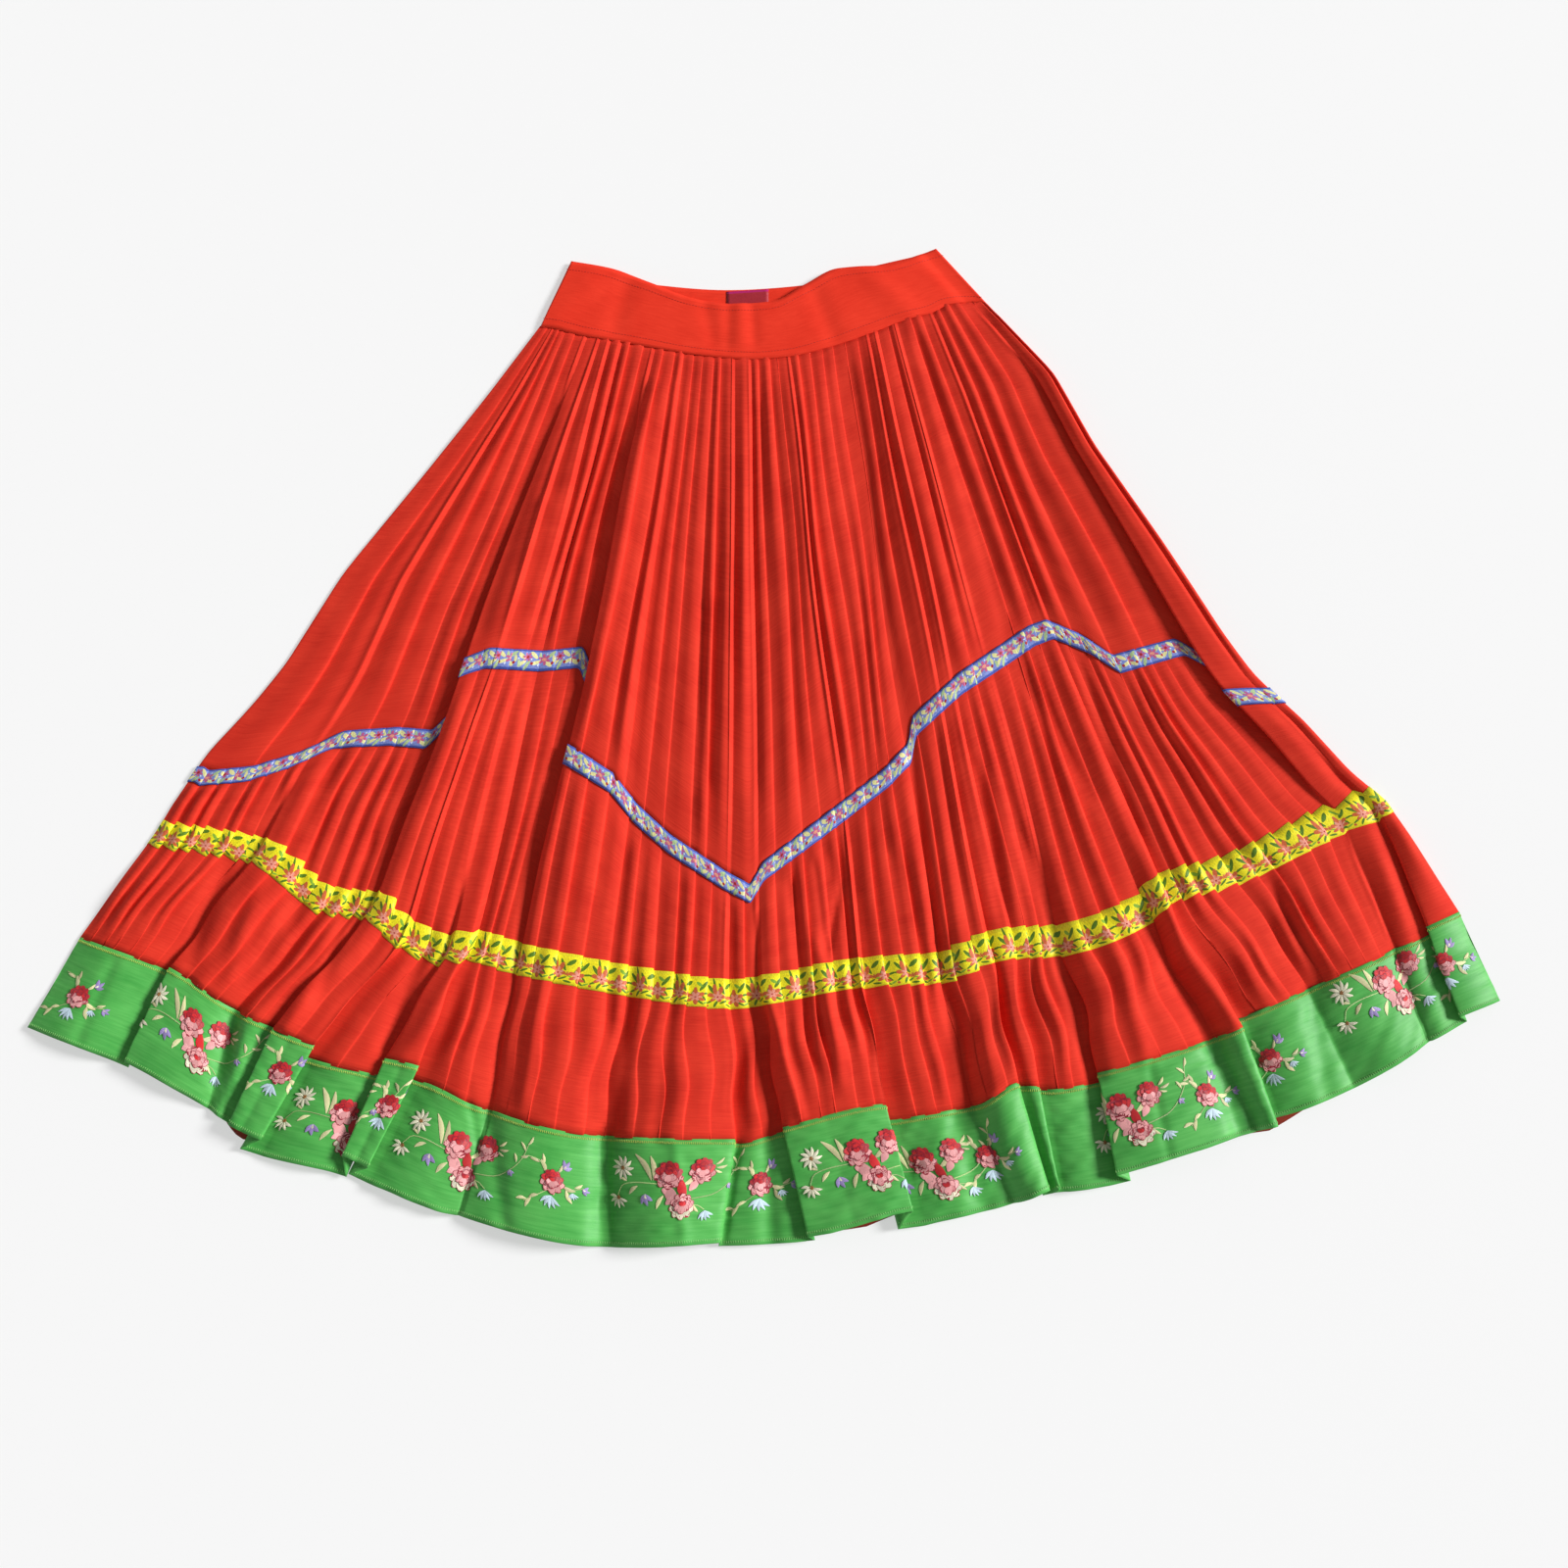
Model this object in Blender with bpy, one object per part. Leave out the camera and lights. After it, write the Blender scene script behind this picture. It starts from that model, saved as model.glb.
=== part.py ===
"""Pleated skirt laid flat on its back: waistband, pleated panels, two ribbons and a hem band.

Lengths in the tables are millimetres, X to the right and Y up towards the waist.
The finished part is in metres, +Z up, with its underside on Z = 0.
"""

import bpy
import numpy as np
from mathutils import Matrix

MM = 0.001

# Cloth walls and the gaps between pieces
WALL = 1.0
SEAM_GAP = 0.9
BAND_GAP = 1.5
ZIGZAG_GAP = 1.3
LAY_GAP = 0.3
BACK_MID = WALL / 2
FRONT_MID = 2.0
FRONT_SWELL = 1.8

# Ribbons and the waistband
RIBBON_WALL = 1.0
BLUE_RIBBON = 18.0
YELLOW_RIBBON = 27.0
BELOW_RIBBON = 9.0
SHARPEST = 0.8
RIBBON_UNDER = 0.6
LABEL_LEFT = -56.0
LABEL_RIGHT = -15.0
LABEL_HEIGHT = 22.0
LABEL_BELOW_EDGE = 2.0
LABEL_STATIONS = 5
WAIST_STATIONS = 34
WAIST_RAISED = 0.5

# Pleats: half the run of a pleat's step, and of a main fold's step
PLEAT_RUN = 1.0
FOLD_RUN = 1.9
RUN_SHARE = 0.25
TURN = 1 / 3
CLEAR_OF_STEP = 3.4
BEFORE_FOLD = 0.004
WAIST_RELIEF = 1.5
LOWER_RELIEF = 2.2
OPEN_RELIEF = 1.6
FLAT_RELIEF = 0.25
LOWER_OPENS = 1.42
LAST_QUARTER = 0.75
CROWN_FROM = 0.5
STEP_FROM = 1.2

# The hem band's stations, and the flat back: its seam's depth and its stations
BAND_STATION = 22.0
BAND_DEPTH = 96.0
BACK_SEAM = 0.78
BACK_STATIONS = 60

# Steps and ranges of the searches along the folds, as places across and depths
NEARBY = 0.002
SEARCH_ACROSS = 500
SEARCH_DOWN = 200
ZIGZAG_LEVELS = 120
ZIGZAG_FROM = 0.3
ZIGZAG_TO = 0.999

# Main folds, left to right. Each row is one fold line down the front, given where it
# crosses the waist seam, the yellow ribbon, the band's seam and the hem.
# side: 1 the right layer lies over the left, -1 the left over the right, 0 a valley.
# lap and drop: how far and how high the upper layer lies over the lower one.
# step: how much lower the band lies on the lower layer. crown: rise of the panel on
# the right of the fold. peek: how far the back shows below the front's hem there.
COLUMNS = ("waist_x waist_y yellow_x yellow_y seam_x seam_y hem_x hem_y side lap_blue "
           "drop_blue drop_yellow lap_hem drop_hem step crown peek tucks pleats").split()
FOLDS = {
    "left_side":  (-236, 452, -579, -45, -643, -143, -684, -224, 0, 0, 0, 0, 0, 0, 0, 7, -5, 2, 7),
    "gore_1":     (-223, 450, -483, -62, -560, -170, -595, -254, 1, 0, 0, 3, 7, 8, 4, 3, -5, 2, 4),
    "valley_2":   (-212, 447, -415, -109, -498, -209, -518, -296, 0, 0, 0, 0, 0, 0, 0, 6, -5, 2, 3),
    "fold_b":     (-192, 442, -375, -114, -462, -225, -498, -309, 1, 22, 7, 3, 16, 11, 0, 2, 8, 1, 2),
    "flap_4":     (-179, 440, -342, -141, -420, -241, -464, -324, -1, 0, 0, 2, 18, 11, 14, 4, -4, 1, 2),
    "gore_6":     (-169, 438, -307, -154, -361, -252, -395, -337, 1, 0, 0, 3, 13, 10, 17, 1, 3, 1, 1),
    "flap_6":     (-158, 436, -286, -151, -326, -260, -368, -349, -1, 0, 0, 2, 18, 10, 13, 5, -5, 3, 3),
    "fold_a":     (-126, 430, -241, -162, -264, -298, -288, -390, 1, 26, 7, 2, 0, 2, 0, 9, -5, 4, 5),
    "valley_8":   (-87, 423, -143, -181, -161, -321, -153, -417, 0, 0, 0, 0, 0, 0, 0, 9, -5, 4, 5),
    "gore_9":     (-49, 419, -50, -193, -41, -324, -54, -413, -1, 0, 0, 2, 5, 5, 3, 2, -5, 1, 2),
    "gore_10":    (-33, 418, -22, -190, -3, -314, 19, -408, 1, 0, 0, 3, 9, 9, 4, 4, 4, 4, 6),
    "flap_10":    (5, 421, 71, -174, 93, -293, 116, -385, -1, 0, 0, 2, 20, 12, 15, 4, -5, 5, 4),
    "gore_11":    (59, 436, 141, -170, 169, -295, 205, -379, 0, 0, 0, 0, 0, 0, 0, 6, -4, 2, 3),
    "flap_12":    (81, 444, 186, -152, 212, -274, 238, -367, -1, 0, 0, 3, 10, 9, 4, 2, 4, 1, 1),
    "ridge_12":   (89, 447, 206, -148, 231, -277, 247, -366, -1, 0, 0, 2, 8, 6, 3, 3, -4, 2, 3),
    "gore_14":    (108, 455, 253, -145, 280, -266, 293, -355, 1, 0, 0, 3, 16, 10, 8, 5, -4, 2, 4),
    "valley_14":  (133, 463, 328, -117, 390, -234, 424, -316, 0, 0, 0, 0, 0, 0, 0, 3, 3, 1, 1),
    "flap_15":    (143, 466, 345, -100, 415, -223, 443, -311, -1, 0, 0, 2, 12, 10, -7, 6, -5, 2, 4),
    "dip_16":     (160, 475, 410, -81, 477, -190, 514, -278, 0, 0, 0, 0, 0, 0, 0, 7, -5, 2, 6),
    "fold_c":     (182, 478, 514, -32, 556, -154, 583, -237, 1, 18, 7, 1, 0, 0, 0, 3, -4, 1, 1),
    "gore_17":    (193, 477, 546, -19, 584, -135, 609, -216, 1, 0, 0, 2, 10, 7, 7, 2, -4, 1, 1),
    "right_side": (197, 476, 556, -14, 618, -120, 650, -200, 0, 0, 0, 0, 0, 0, 0, 0, -4, 0, 0),
}
NAMES = list(FOLDS)
FOLD = {c: np.array([row[i] for row in FOLDS.values()], float) for i, c in enumerate(COLUMNS)}

# How far the side outlines stand off a straight line, by depth from waist to yellow ribbon
SWAY = {
    "depth": (0.0, 0.15, 0.3, 0.5, 0.68, 0.76, 0.85, 0.95, 1.0),
    "left": (0, 0, -3, -9, 2, 0, -8, -4, 0),
    "right": (0, 9, -8, -18, -30, -32, -20, -12, 0),
}
SWAY_REACH = 0.2

# Depths between which the folds rise and lap, and how far across a layer stays up
BLUE_LEVELS = (0.05, 0.2, 0.6, 0.85, 1.0)
BLUE_SHARES = (0.0, 0.5, 1.0, 1.0, 0.0)
BLUE_REACH = 0.075
SEAM_SHARE = 0.9

# The most that the layers lap in a row: not at all, upright at the fold, or as the table says
UNLAPPED = 0.0
UPRIGHT = 2 * FOLD_RUN
LAPPED = 1000.0
LEVEL_UNDER = 0.4
FLAT_FROM = 3.0
SPREAD_BY = 0.5

# Rows of the upper panel: depth, share of the way from it to the seam, relief, most lap
UPPER_ROWS = ((0.0, 0.0, WAIST_RELIEF, UNLAPPED), (0.2, 0.0, 2.1, UPRIGHT),
              (0.2, 0.6, 1.3, LAPPED))
HALF_LAPPED = 9.0

# Centre line of the blue ribbon over the zigzag seam, by the folds that it lies between
ZIGZAG = {
    ("left_side", "fold_b"): ((-543, 9), (-538, 5), (-495, 9), (-451, 24), (-415, 42),
                              (-363, 45), (-330, 42), (-283, 92)),
    ("fold_b", "fold_a"): ((-310, 105), (-277, 118), (-225, 118), (-190, 122), (-168, 68)),
    ("fold_a", "fold_c"): ((-215, 36), (-159, 0), (-137, -28), (-105, -57), (-55, -90),
                           (-31, -103), (-19, -82), (32, -43), (95, 6), (117, 30), (121, 55),
                           (165, 96), (233, 143), (250, 149), (282, 135), (311, 114),
                           (371, 131), (389, 122), (417, 105)),
    ("fold_c", "right_side"): ((400, 78), (420, 81), (470, 83)),
}

# Top edges of the waistband
FRONT_TOP = ((-208, 519), (-168, 511), (-130, 496), (-86, 479), (-50, 474), (-13, 476),
             (20, 494), (53, 511), (97, 514), (149, 533))
BACK_TOP = ((-207, 518), (-153, 501), (-130, 496), (-55, 490), (19, 495), (57, 507),
            (148, 530))

# Plain colours of the cloths
RED = (0.62, 0.035, 0.02)
SCARLET = (0.72, 0.05, 0.03)
GREEN = (0.06, 0.36, 0.10)
BLUE = (0.16, 0.23, 0.62)
YELLOW = (0.85, 0.75, 0.04)
MAROON = (0.35, 0.02, 0.05)


# Smooth curves through the tables' rows

def smooth_through(knots, values, at):
    """Monotone cubic through the knots, so that no bump appears between two rows."""
    step = np.diff(knots)
    slope = np.diff(values) / step
    tangent = np.zeros(len(knots))
    tangent[0], tangent[-1] = slope[0], slope[-1]
    same = slope[:-1] * slope[1:] > 0
    safe = np.where(same, slope[:-1] + slope[1:], 1.0)
    tangent[1:-1] = np.where(same, 2 * slope[:-1] * slope[1:] / safe, 0.0)
    i = np.clip(np.searchsorted(knots, at, side="right") - 1, 0, len(step) - 1)
    t = (at - knots[i]) / step[i]
    a = (1 + 2 * t) * (1 - t) ** 2 * values[i] + t * (1 - t) ** 2 * step[i] * tangent[i]
    b = t ** 2 * (3 - 2 * t) * values[i + 1] - t ** 2 * (1 - t) * step[i] * tangent[i + 1]
    return a + b


def ease(low, high, value):
    t = np.clip((value - low) / (high - low), 0.0, 1.0)
    return t * t * (3 - 2 * t)


def share(column):
    return (column - column[0]) / (column[-1] - column[0])


# Place across the front, from 0 at the left side to 1 at the right side
ACROSS = (share(FOLD["waist_x"]) + share(FOLD["yellow_x"])) / 2
LEVELS = [(FOLD[f"{level}_x"], FOLD[f"{level}_y"]) for level in ("waist", "yellow", "seam", "hem")]
WAIST, YELLOW_LINE, BAND_SEAM, HEM = 0.0, 1.0, 2.0, 3.0
PANEL_WIDTHS = np.array([np.hypot(np.diff(x), np.diff(y)) for x, y in LEVELS])


def plan(across, depth):
    """Plan position at a place across and a depth, which counts the levels down."""
    rows = [np.stack([smooth_through(ACROSS, x, across), smooth_through(ACROSS, y, across)], -1)
            for x, y in LEVELS]
    rows = np.stack(rows)
    low = np.clip(np.floor(depth).astype(int), 0, 2)
    part = (depth - low)[..., None]
    columns = np.arange(len(across))
    place = rows[low, columns] * (1 - part) + rows[low + 1, columns] * part
    left = np.interp(depth, SWAY["depth"], SWAY["left"]) * (1 - ease(0, SWAY_REACH, across))
    right = np.interp(depth, SWAY["depth"], SWAY["right"]) * ease(1 - SWAY_REACH, 1, across)
    place[:, 0] += np.where(depth < YELLOW_LINE, left + right, 0.0)
    return place


def directions(across, depth):
    """Unit vectors across the front and down the pleats."""
    low, high = np.clip(across - NEARBY, 0, 1), np.clip(across + NEARBY, 0, 1)
    sideways = plan(high, depth) - plan(low, depth)
    up, down = np.clip(depth - NEARBY, WAIST, HEM), np.clip(depth + NEARBY, WAIST, HEM)
    downwards = plan(across, down) - plan(across, up)
    return (sideways / np.linalg.norm(sideways, axis=1)[:, None],
            downwards / np.linalg.norm(downwards, axis=1)[:, None])


def deeper(across, depth, distance):
    """Depth reached by going a distance down the pleats, or up them where it is negative."""
    whole = np.clip(np.where(distance > 0, np.floor(depth), np.ceil(depth) - 1), 0, 2)
    length = np.linalg.norm(plan(across, whole + 1) - plan(across, whole), axis=1)
    return depth + distance / length


# The main folds' heights and laps at any depth

def width_at(panel, depth):
    """Width of a panel between two folds, at a depth."""
    low = np.clip(np.floor(depth).astype(int), 0, 2)
    panel = np.clip(panel, 0, len(NAMES) - 2)
    return (PANEL_WIDTHS[low, panel] * (low + 1 - depth)
            + PANEL_WIDTHS[low + 1, panel] * (depth - low))


def blue_drop(fold, depth):
    """How high the upper layer lies at the blue ribbon's folds, above the layer under it."""
    return FOLD["drop_blue"][fold] * np.interp(depth, BLUE_LEVELS, BLUE_SHARES)


def hem_drop(fold, depth):
    """How high the upper layer lies at a fold, from the yellow ribbon down."""
    yellow, hem = FOLD["drop_yellow"][fold], FOLD["drop_hem"][fold]
    above = yellow * np.clip((depth - BLUE_LEVELS[-2]) / (YELLOW_LINE - BLUE_LEVELS[-2]), 0, 1)
    to_seam = (SEAM_SHARE * hem - yellow) * np.clip(depth - YELLOW_LINE, 0, 1)
    return above + to_seam + (1 - SEAM_SHARE) * hem * np.clip(depth - BAND_SEAM, 0, 1)


def blue_rise(across, panel, depth):
    """Height of the layers that lie over the folds at the blue ribbon, from there rightwards."""
    rise = np.zeros(len(across))
    for fold in np.flatnonzero(FOLD["drop_blue"]):
        away = np.clip((across - ACROSS[fold]) / BLUE_REACH, 0, 1)
        rise += np.where(panel >= fold, blue_drop(fold, depth) * (1 - away ** 2), 0)
    return rise


def corners_of_zigzag():
    """Places across of the zigzag's corners, and one just before each lapped fold."""
    across, depth = np.linspace(0, 1, SEARCH_ACROSS), np.linspace(ZIGZAG_FROM, 1, SEARCH_DOWN)
    paths = np.stack([plan(across, np.full(len(across), d)) for d in depth])
    found = list(ACROSS[FOLD["lap_blue"] > 0] - BEFORE_FOLD)
    for (start, end), line in ZIGZAG.items():
        low, high = ACROSS[NAMES.index(start)], ACROSS[NAMES.index(end)]
        for corner in line:
            distance = np.linalg.norm(paths - np.array(corner), axis=2)
            at = across[np.unravel_index(distance.argmin(), distance.shape)[1]]
            if low < at < high:
                found.append(at)
    return found


class Columns:
    """The columns of points that a piece of the front is lofted over."""

    def __init__(self, counts, stepped=True, extra=()):
        last = len(NAMES) - 1
        rows = [(0.0, 0, 0.0, -1, 1, 0.0)]
        for panel in range(last):
            edges = np.linspace(ACROSS[panel], ACROSS[panel + 1], int(counts[panel]) + 1)
            for low, high in zip(edges[:-1], edges[1:]):
                ends = plan(np.array([low, high]), np.full(2, BACK_SEAM))
                clear = CLEAR_OF_STEP * (high - low) / np.linalg.norm(ends[1] - ends[0])
                inside = [at for at in sorted(extra) if low + clear < at < high - clear]
                homes = np.linspace(low, high, len(inside) + 2)[1:-1]
                rows += [(at, panel, (at - low) / (high - low), -1, 0, home)
                         for at, home in zip(inside, homes)]
                if high < edges[-1] and stepped:
                    rows += [(high, panel, 1.0, -1, -1, high), (high, panel, 0.0, -1, 1, high)]
                elif high < edges[-1]:
                    rows.append((high, panel, 0.0, -1, 0, high))
            if panel + 1 < last:
                fold, at = panel + 1, edges[-1]
                turn = TURN if FOLD["side"][fold] else 1
                rows += [(at, panel, 1.0, fold, -1, at), (at, panel, 1.0, fold, -turn, at),
                         (at, fold, 0.0, fold, turn, at), (at, fold, 0.0, fold, 1, at)]
        rows.append((1.0, last - 1, 0.0, -1, -1, 1.0))
        table = np.array(rows)
        table = table[np.append(True, (np.diff(table, axis=0) != 0).any(axis=1))]
        self.across, self.raised, self.hand = table[:, 0], table[:, 2], table[:, 4]
        self.home = table[:, 5]
        self.panel, self.fold = table[:, 1].astype(int), table[:, 3].astype(int)
        self.plain = np.abs(self.hand) != TURN
        self.turned = np.flatnonzero(self.hand == -TURN)

    def lapped(self):
        """The columns on a main fold that laps at the blue ribbon."""
        return (self.fold >= 0) & (FOLD["lap_blue"][self.fold] > 0)

    def points(self, depth, relief, most=LAPPED):
        """The row of 3-D points at a depth, with the pleats' relief and the most that folds lap."""
        across = self.home + (self.across - self.home) * ease(0, SPREAD_BY, depth)
        sideways, downwards = directions(across, depth)
        left, right = self.panel, self.panel + 1
        along = (across - ACROSS[left]) / (ACROSS[right] - ACROSS[left])
        hem_left, hem_right = (hem_drop(fold, depth) for fold in (left, right))
        from_left = np.where(FOLD["side"][left] > 0, hem_left, 0) * (1 - along ** 2)
        from_right = np.where(FOLD["side"][right] < 0, hem_right, 0) * (1 - (1 - along) ** 2)
        height = np.maximum(from_left, from_right) + blue_rise(across, self.panel, depth)
        height += FOLD["crown"][left] * np.sin(np.pi * along) * ease(CROWN_FROM, BAND_SEAM, depth)

        open_left = np.where(FOLD["side"][left] < 0, hem_left + blue_drop(left, depth), 0)
        open_right = np.where(FOLD["side"][right] > 0, hem_right + blue_drop(right, depth), 0)
        level_left = ease(0, FLAT_FROM, open_left) * ease(1 - LEVEL_UNDER, 1, 1 - along)
        level_right = ease(0, FLAT_FROM, open_right) * ease(1 - LEVEL_UNDER, 1, along)
        height += self.raised * relief * (1 - level_left) * (1 - level_right)

        side = FOLD["side"][self.fold]
        is_fold = self.fold >= 0
        under = is_fold & (side * self.hand < 0)
        blue, hem = FOLD["lap_blue"][self.fold], FOLD["lap_hem"][self.fold]
        lap = np.minimum(most, np.where(is_fold, np.where(depth < YELLOW_LINE, blue, hem), 0))
        room = np.minimum(width_at(self.fold - 1, depth), width_at(self.fold, depth))
        run = np.where(is_fold, np.minimum(FOLD_RUN, RUN_SHARE * room), PLEAT_RUN)
        edge = (across <= 0) | (across >= 1)
        shift = np.where(edge, 0, self.hand * run) - np.where(under, self.hand * lap, 0)
        lower_left = np.where(FOLD["side"][left] < 0, FOLD["step"][left], 0) * (1 - along)
        lower_right = np.where(FOLD["side"][right] > 0, FOLD["step"][right], 0) * along
        step = (lower_left + lower_right) * ease(STEP_FROM, BAND_SEAM, depth)

        place = plan(across, depth) + sideways * shift[:, None] + downwards * step[:, None]
        base = FRONT_MID + FRONT_SWELL * np.sin(np.pi * across)
        points = np.column_stack([place, base + height])

        # the turned edges stand upright where the layers lap
        left_end, right_end = points[self.turned - 1], points[self.turned + 2]
        apart = TURN * np.maximum(0, 1 - lap[self.turned] / UPRIGHT)[:, None]
        for column, near, far in ((self.turned, left_end, right_end),
                                  (self.turned + 1, right_end, left_end)):
            points[column, :2] = (near + (far - near) * apart)[:, :2]
            points[column, 2] = (near + (far - near) * TURN)[:, 2]
        return points


def zigzag_depth(columns):
    """Depth at which each column crosses the blue ribbon's centre line."""
    levels = np.linspace(ZIGZAG_FROM, ZIGZAG_TO, ZIGZAG_LEVELS)
    count = len(columns.across)
    paths = np.stack([columns.points(np.full(count, d), 0.0)[:, :2] for d in levels])
    found = np.zeros(count)
    for (start, end), line in ZIGZAG.items():
        xs, ys = np.array(line, float).T
        mine = (columns.panel >= NAMES.index(start)) & (columns.panel < NAMES.index(end))
        for i in np.flatnonzero(mine):
            height = paths[:, i, 1] - np.interp(paths[:, i, 0], xs, ys)
            low = np.clip((height > 0).sum(), 1, len(levels) - 1)
            part = height[low - 1] / (height[low - 1] - height[low])
            found[i] = levels[low - 1] + part * (levels[low] - levels[low - 1])
    return found


# Meshes

def lifted(rows, height):
    """Rows of points moved out by one height from the strips on both sides of each column."""
    grid = np.array(rows)
    down = np.gradient(grid, axis=0)
    strip = np.cross((down[:, 1:] + down[:, :-1]) / 2, np.diff(grid, axis=1))
    strip /= np.linalg.norm(strip, axis=2)[..., None]
    left = np.concatenate([strip[:, :1], strip], axis=1)
    right = np.concatenate([strip, strip[:, -1:]], axis=1)
    length = np.linalg.norm(left + right, axis=2)[..., None]
    return grid + height * (left + right) / length / np.maximum(length / 2, SHARPEST)


def wall_faces(down, across):
    """Triangles of a closed wall whose outer and inner points are two grids, one after the other."""
    def outer(r, c):
        return r * across + c

    def inner(r, c):
        return down * across + outer(r, c)

    faces = []
    for r in range(down - 1):
        for c in range(across - 1):
            corners = (r, c), (r + 1, c), (r, c + 1), (r + 1, c + 1)
            a, b, d, e = (outer(*corner) for corner in corners)
            faces += [(a, b, d), (d, b, e)]
            a, b, d, e = (inner(*corner) for corner in corners)
            faces += [(a, d, b), (d, e, b)]
    rim = [(r, 0) for r in range(down)] + [(down - 1, c) for c in range(1, across)]
    rim += [(r, across - 1) for r in range(down - 2, -1, -1)]
    rim += [(0, c) for c in range(across - 2, -1, -1)]
    for here, there in zip(rim, rim[1:]):
        faces += [(outer(*here), inner(*here), outer(*there)),
                  (outer(*there), inner(*here), inner(*there))]
    return faces


def cloth(name, rows, colour, collection, low=-WALL / 2, high=WALL / 2):
    """A closed wall of cloth between two heights over the rows of points."""
    down, across = np.array(rows).shape[:2]
    points = np.concatenate([lifted(rows, high).reshape(-1, 3), lifted(rows, low).reshape(-1, 3)])
    mesh = bpy.data.meshes.new(name)
    mesh.from_pydata((points * MM).tolist(), [], wall_faces(down, across))
    material = bpy.data.materials.new(name)
    material.use_nodes = True
    shader = material.node_tree.nodes["Principled BSDF"]
    shader.inputs["Base Color"].default_value = (*colour, 1)
    shader.inputs["Roughness"].default_value = 0.8
    mesh.materials.append(material)
    mesh.shade_smooth()
    collection.objects.link(bpy.data.objects.new(name, mesh))


def flat_rows(across, *depths):
    """Rows of a sheet that lies flat on the surface, one at each depth."""
    return [np.column_stack([plan(across, d), np.full(len(across), BACK_MID)]) for d in depths]


def along_line(line, count):
    """Points at even spacing along a short line of hand-set points."""
    points = np.array(line, float)
    length = np.concatenate([[0], np.cumsum(np.linalg.norm(np.diff(points, axis=0), axis=1))])
    at = np.linspace(0, length[-1], count)
    return np.stack([smooth_through(length, points[:, i], at) for i in (0, 1)], -1)


def waistband(top, across, heights):
    """Rows of a waistband from its top edge down to just above the waist seam."""
    upper = along_line(top, len(across))
    lower = plan(across, np.zeros(len(across)))
    up = upper - lower
    up /= np.linalg.norm(up, axis=1)[:, None]
    lower = lower + up * SEAM_GAP
    parts = (0.0, 0.5, 1.0)
    return [np.column_stack([upper * (1 - t) + lower * t, heights]) for t in parts]


# The pieces

def front_panels(collection):
    """Upper panel and lower tier of the front, with the ribbons that lie on the tier."""
    corners = corners_of_zigzag()
    upper = Columns(FOLD["tucks"], extra=corners)
    gap = np.where(upper.lapped(), 2 * ZIGZAG_GAP, ZIGZAG_GAP)
    seam = deeper(upper.across, zigzag_depth(upper), -(BLUE_RIBBON / 2 + gap))
    rows = [upper.points(depth + (seam - depth) * part, relief, most)
            for depth, part, relief, most in UPPER_ROWS]
    rows += [upper.points(deeper(upper.across, seam, -BELOW_RIBBON), FLAT_RELIEF),
             upper.points(seam, FLAT_RELIEF)]
    cloth("upper_panel_front", rows, RED, collection)

    lower = Columns(FOLD["pleats"], extra=corners)
    zigzag = zigzag_depth(lower)
    ribbon_low = deeper(lower.across, zigzag, BLUE_RIBBON / 2)
    below = deeper(lower.across, ribbon_low, BELOW_RIBBON)
    line = np.full(len(lower.across), YELLOW_LINE)
    above = deeper(lower.across, line, -YELLOW_RIBBON / 2)
    rows = [lower.points(deeper(lower.across, zigzag, -BLUE_RIBBON / 2), FLAT_RELIEF),
            lower.points(ribbon_low, FLAT_RELIEF),
            lower.points(below, LOWER_RELIEF),
            lower.points((below + above) / 2, LOWER_RELIEF, HALF_LAPPED),
            lower.points(below + (above - below) * LAST_QUARTER, LOWER_RELIEF, UPRIGHT),
            lower.points(above, LOWER_RELIEF, UNLAPPED),
            lower.points(deeper(lower.across, line, YELLOW_RIBBON / 2), LOWER_RELIEF, UNLAPPED),
            lower.points(line * LOWER_OPENS, OPEN_RELIEF, UPRIGHT),
            lower.points(line * BAND_SEAM, FLAT_RELIEF)]
    cloth("lower_tier_front", rows, RED, collection)

    on_tier = {"low": WALL / 2 + LAY_GAP, "high": WALL / 2 + LAY_GAP + RIBBON_WALL}
    cloth("ribbon_yellow", np.array(rows[5:7])[:, lower.plain], YELLOW, collection, **on_tier)
    for i, (start, end) in enumerate(ZIGZAG):
        first, last = NAMES.index(start), NAMES.index(end)
        mine = np.flatnonzero(lower.plain & (lower.panel >= first) & (lower.panel < last))
        strip = np.array(rows[:2])[:, mine]
        if lower.fold[mine[-1]] >= 0:
            strip[:, -1] = strip[:, -2] + RIBBON_UNDER * (strip[:, -1] - strip[:, -2])
        cloth(f"ribbon_blue_{i + 1}", strip, BLUE, collection, **on_tier)


def hem_band(collection):
    widths = np.hypot(np.diff(FOLD["hem_x"]), np.diff(FOLD["hem_y"]))
    band = Columns(np.maximum(2, np.round(widths / BAND_STATION)), stepped=False)
    seam, hem = (np.full(len(band.across), level) for level in (BAND_SEAM, HEM))
    rows = [band.points(deeper(band.across, seam, BAND_GAP), 0.0),
            band.points((seam + hem) / 2, 0.0), band.points(hem, 0.0)]
    cloth("hem_band_front", rows, GREEN, collection)


def waistbands(collection):
    across = np.linspace(0, 1, WAIST_STATIONS)
    swell = FRONT_MID + FRONT_SWELL * np.sin(np.pi * across) + WAIST_RAISED
    cloth("waistband_front", waistband(FRONT_TOP, across, swell), SCARLET, collection)
    flat = np.full(WAIST_STATIONS, BACK_MID)
    cloth("waistband_back", waistband(BACK_TOP, across, flat), SCARLET, collection)

    xs, ys = np.array(BACK_TOP, float).T
    line = np.linspace(LABEL_LEFT, LABEL_RIGHT, LABEL_STATIONS)
    top = np.interp(line, xs, ys) - LABEL_BELOW_EDGE
    height = np.full(len(line), BACK_MID + WALL + LAY_GAP)
    rows = [np.column_stack([line, top - drop, height]) for drop in (0, LABEL_HEIGHT)]
    cloth("waist_label", rows, MAROON, collection)


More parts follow.
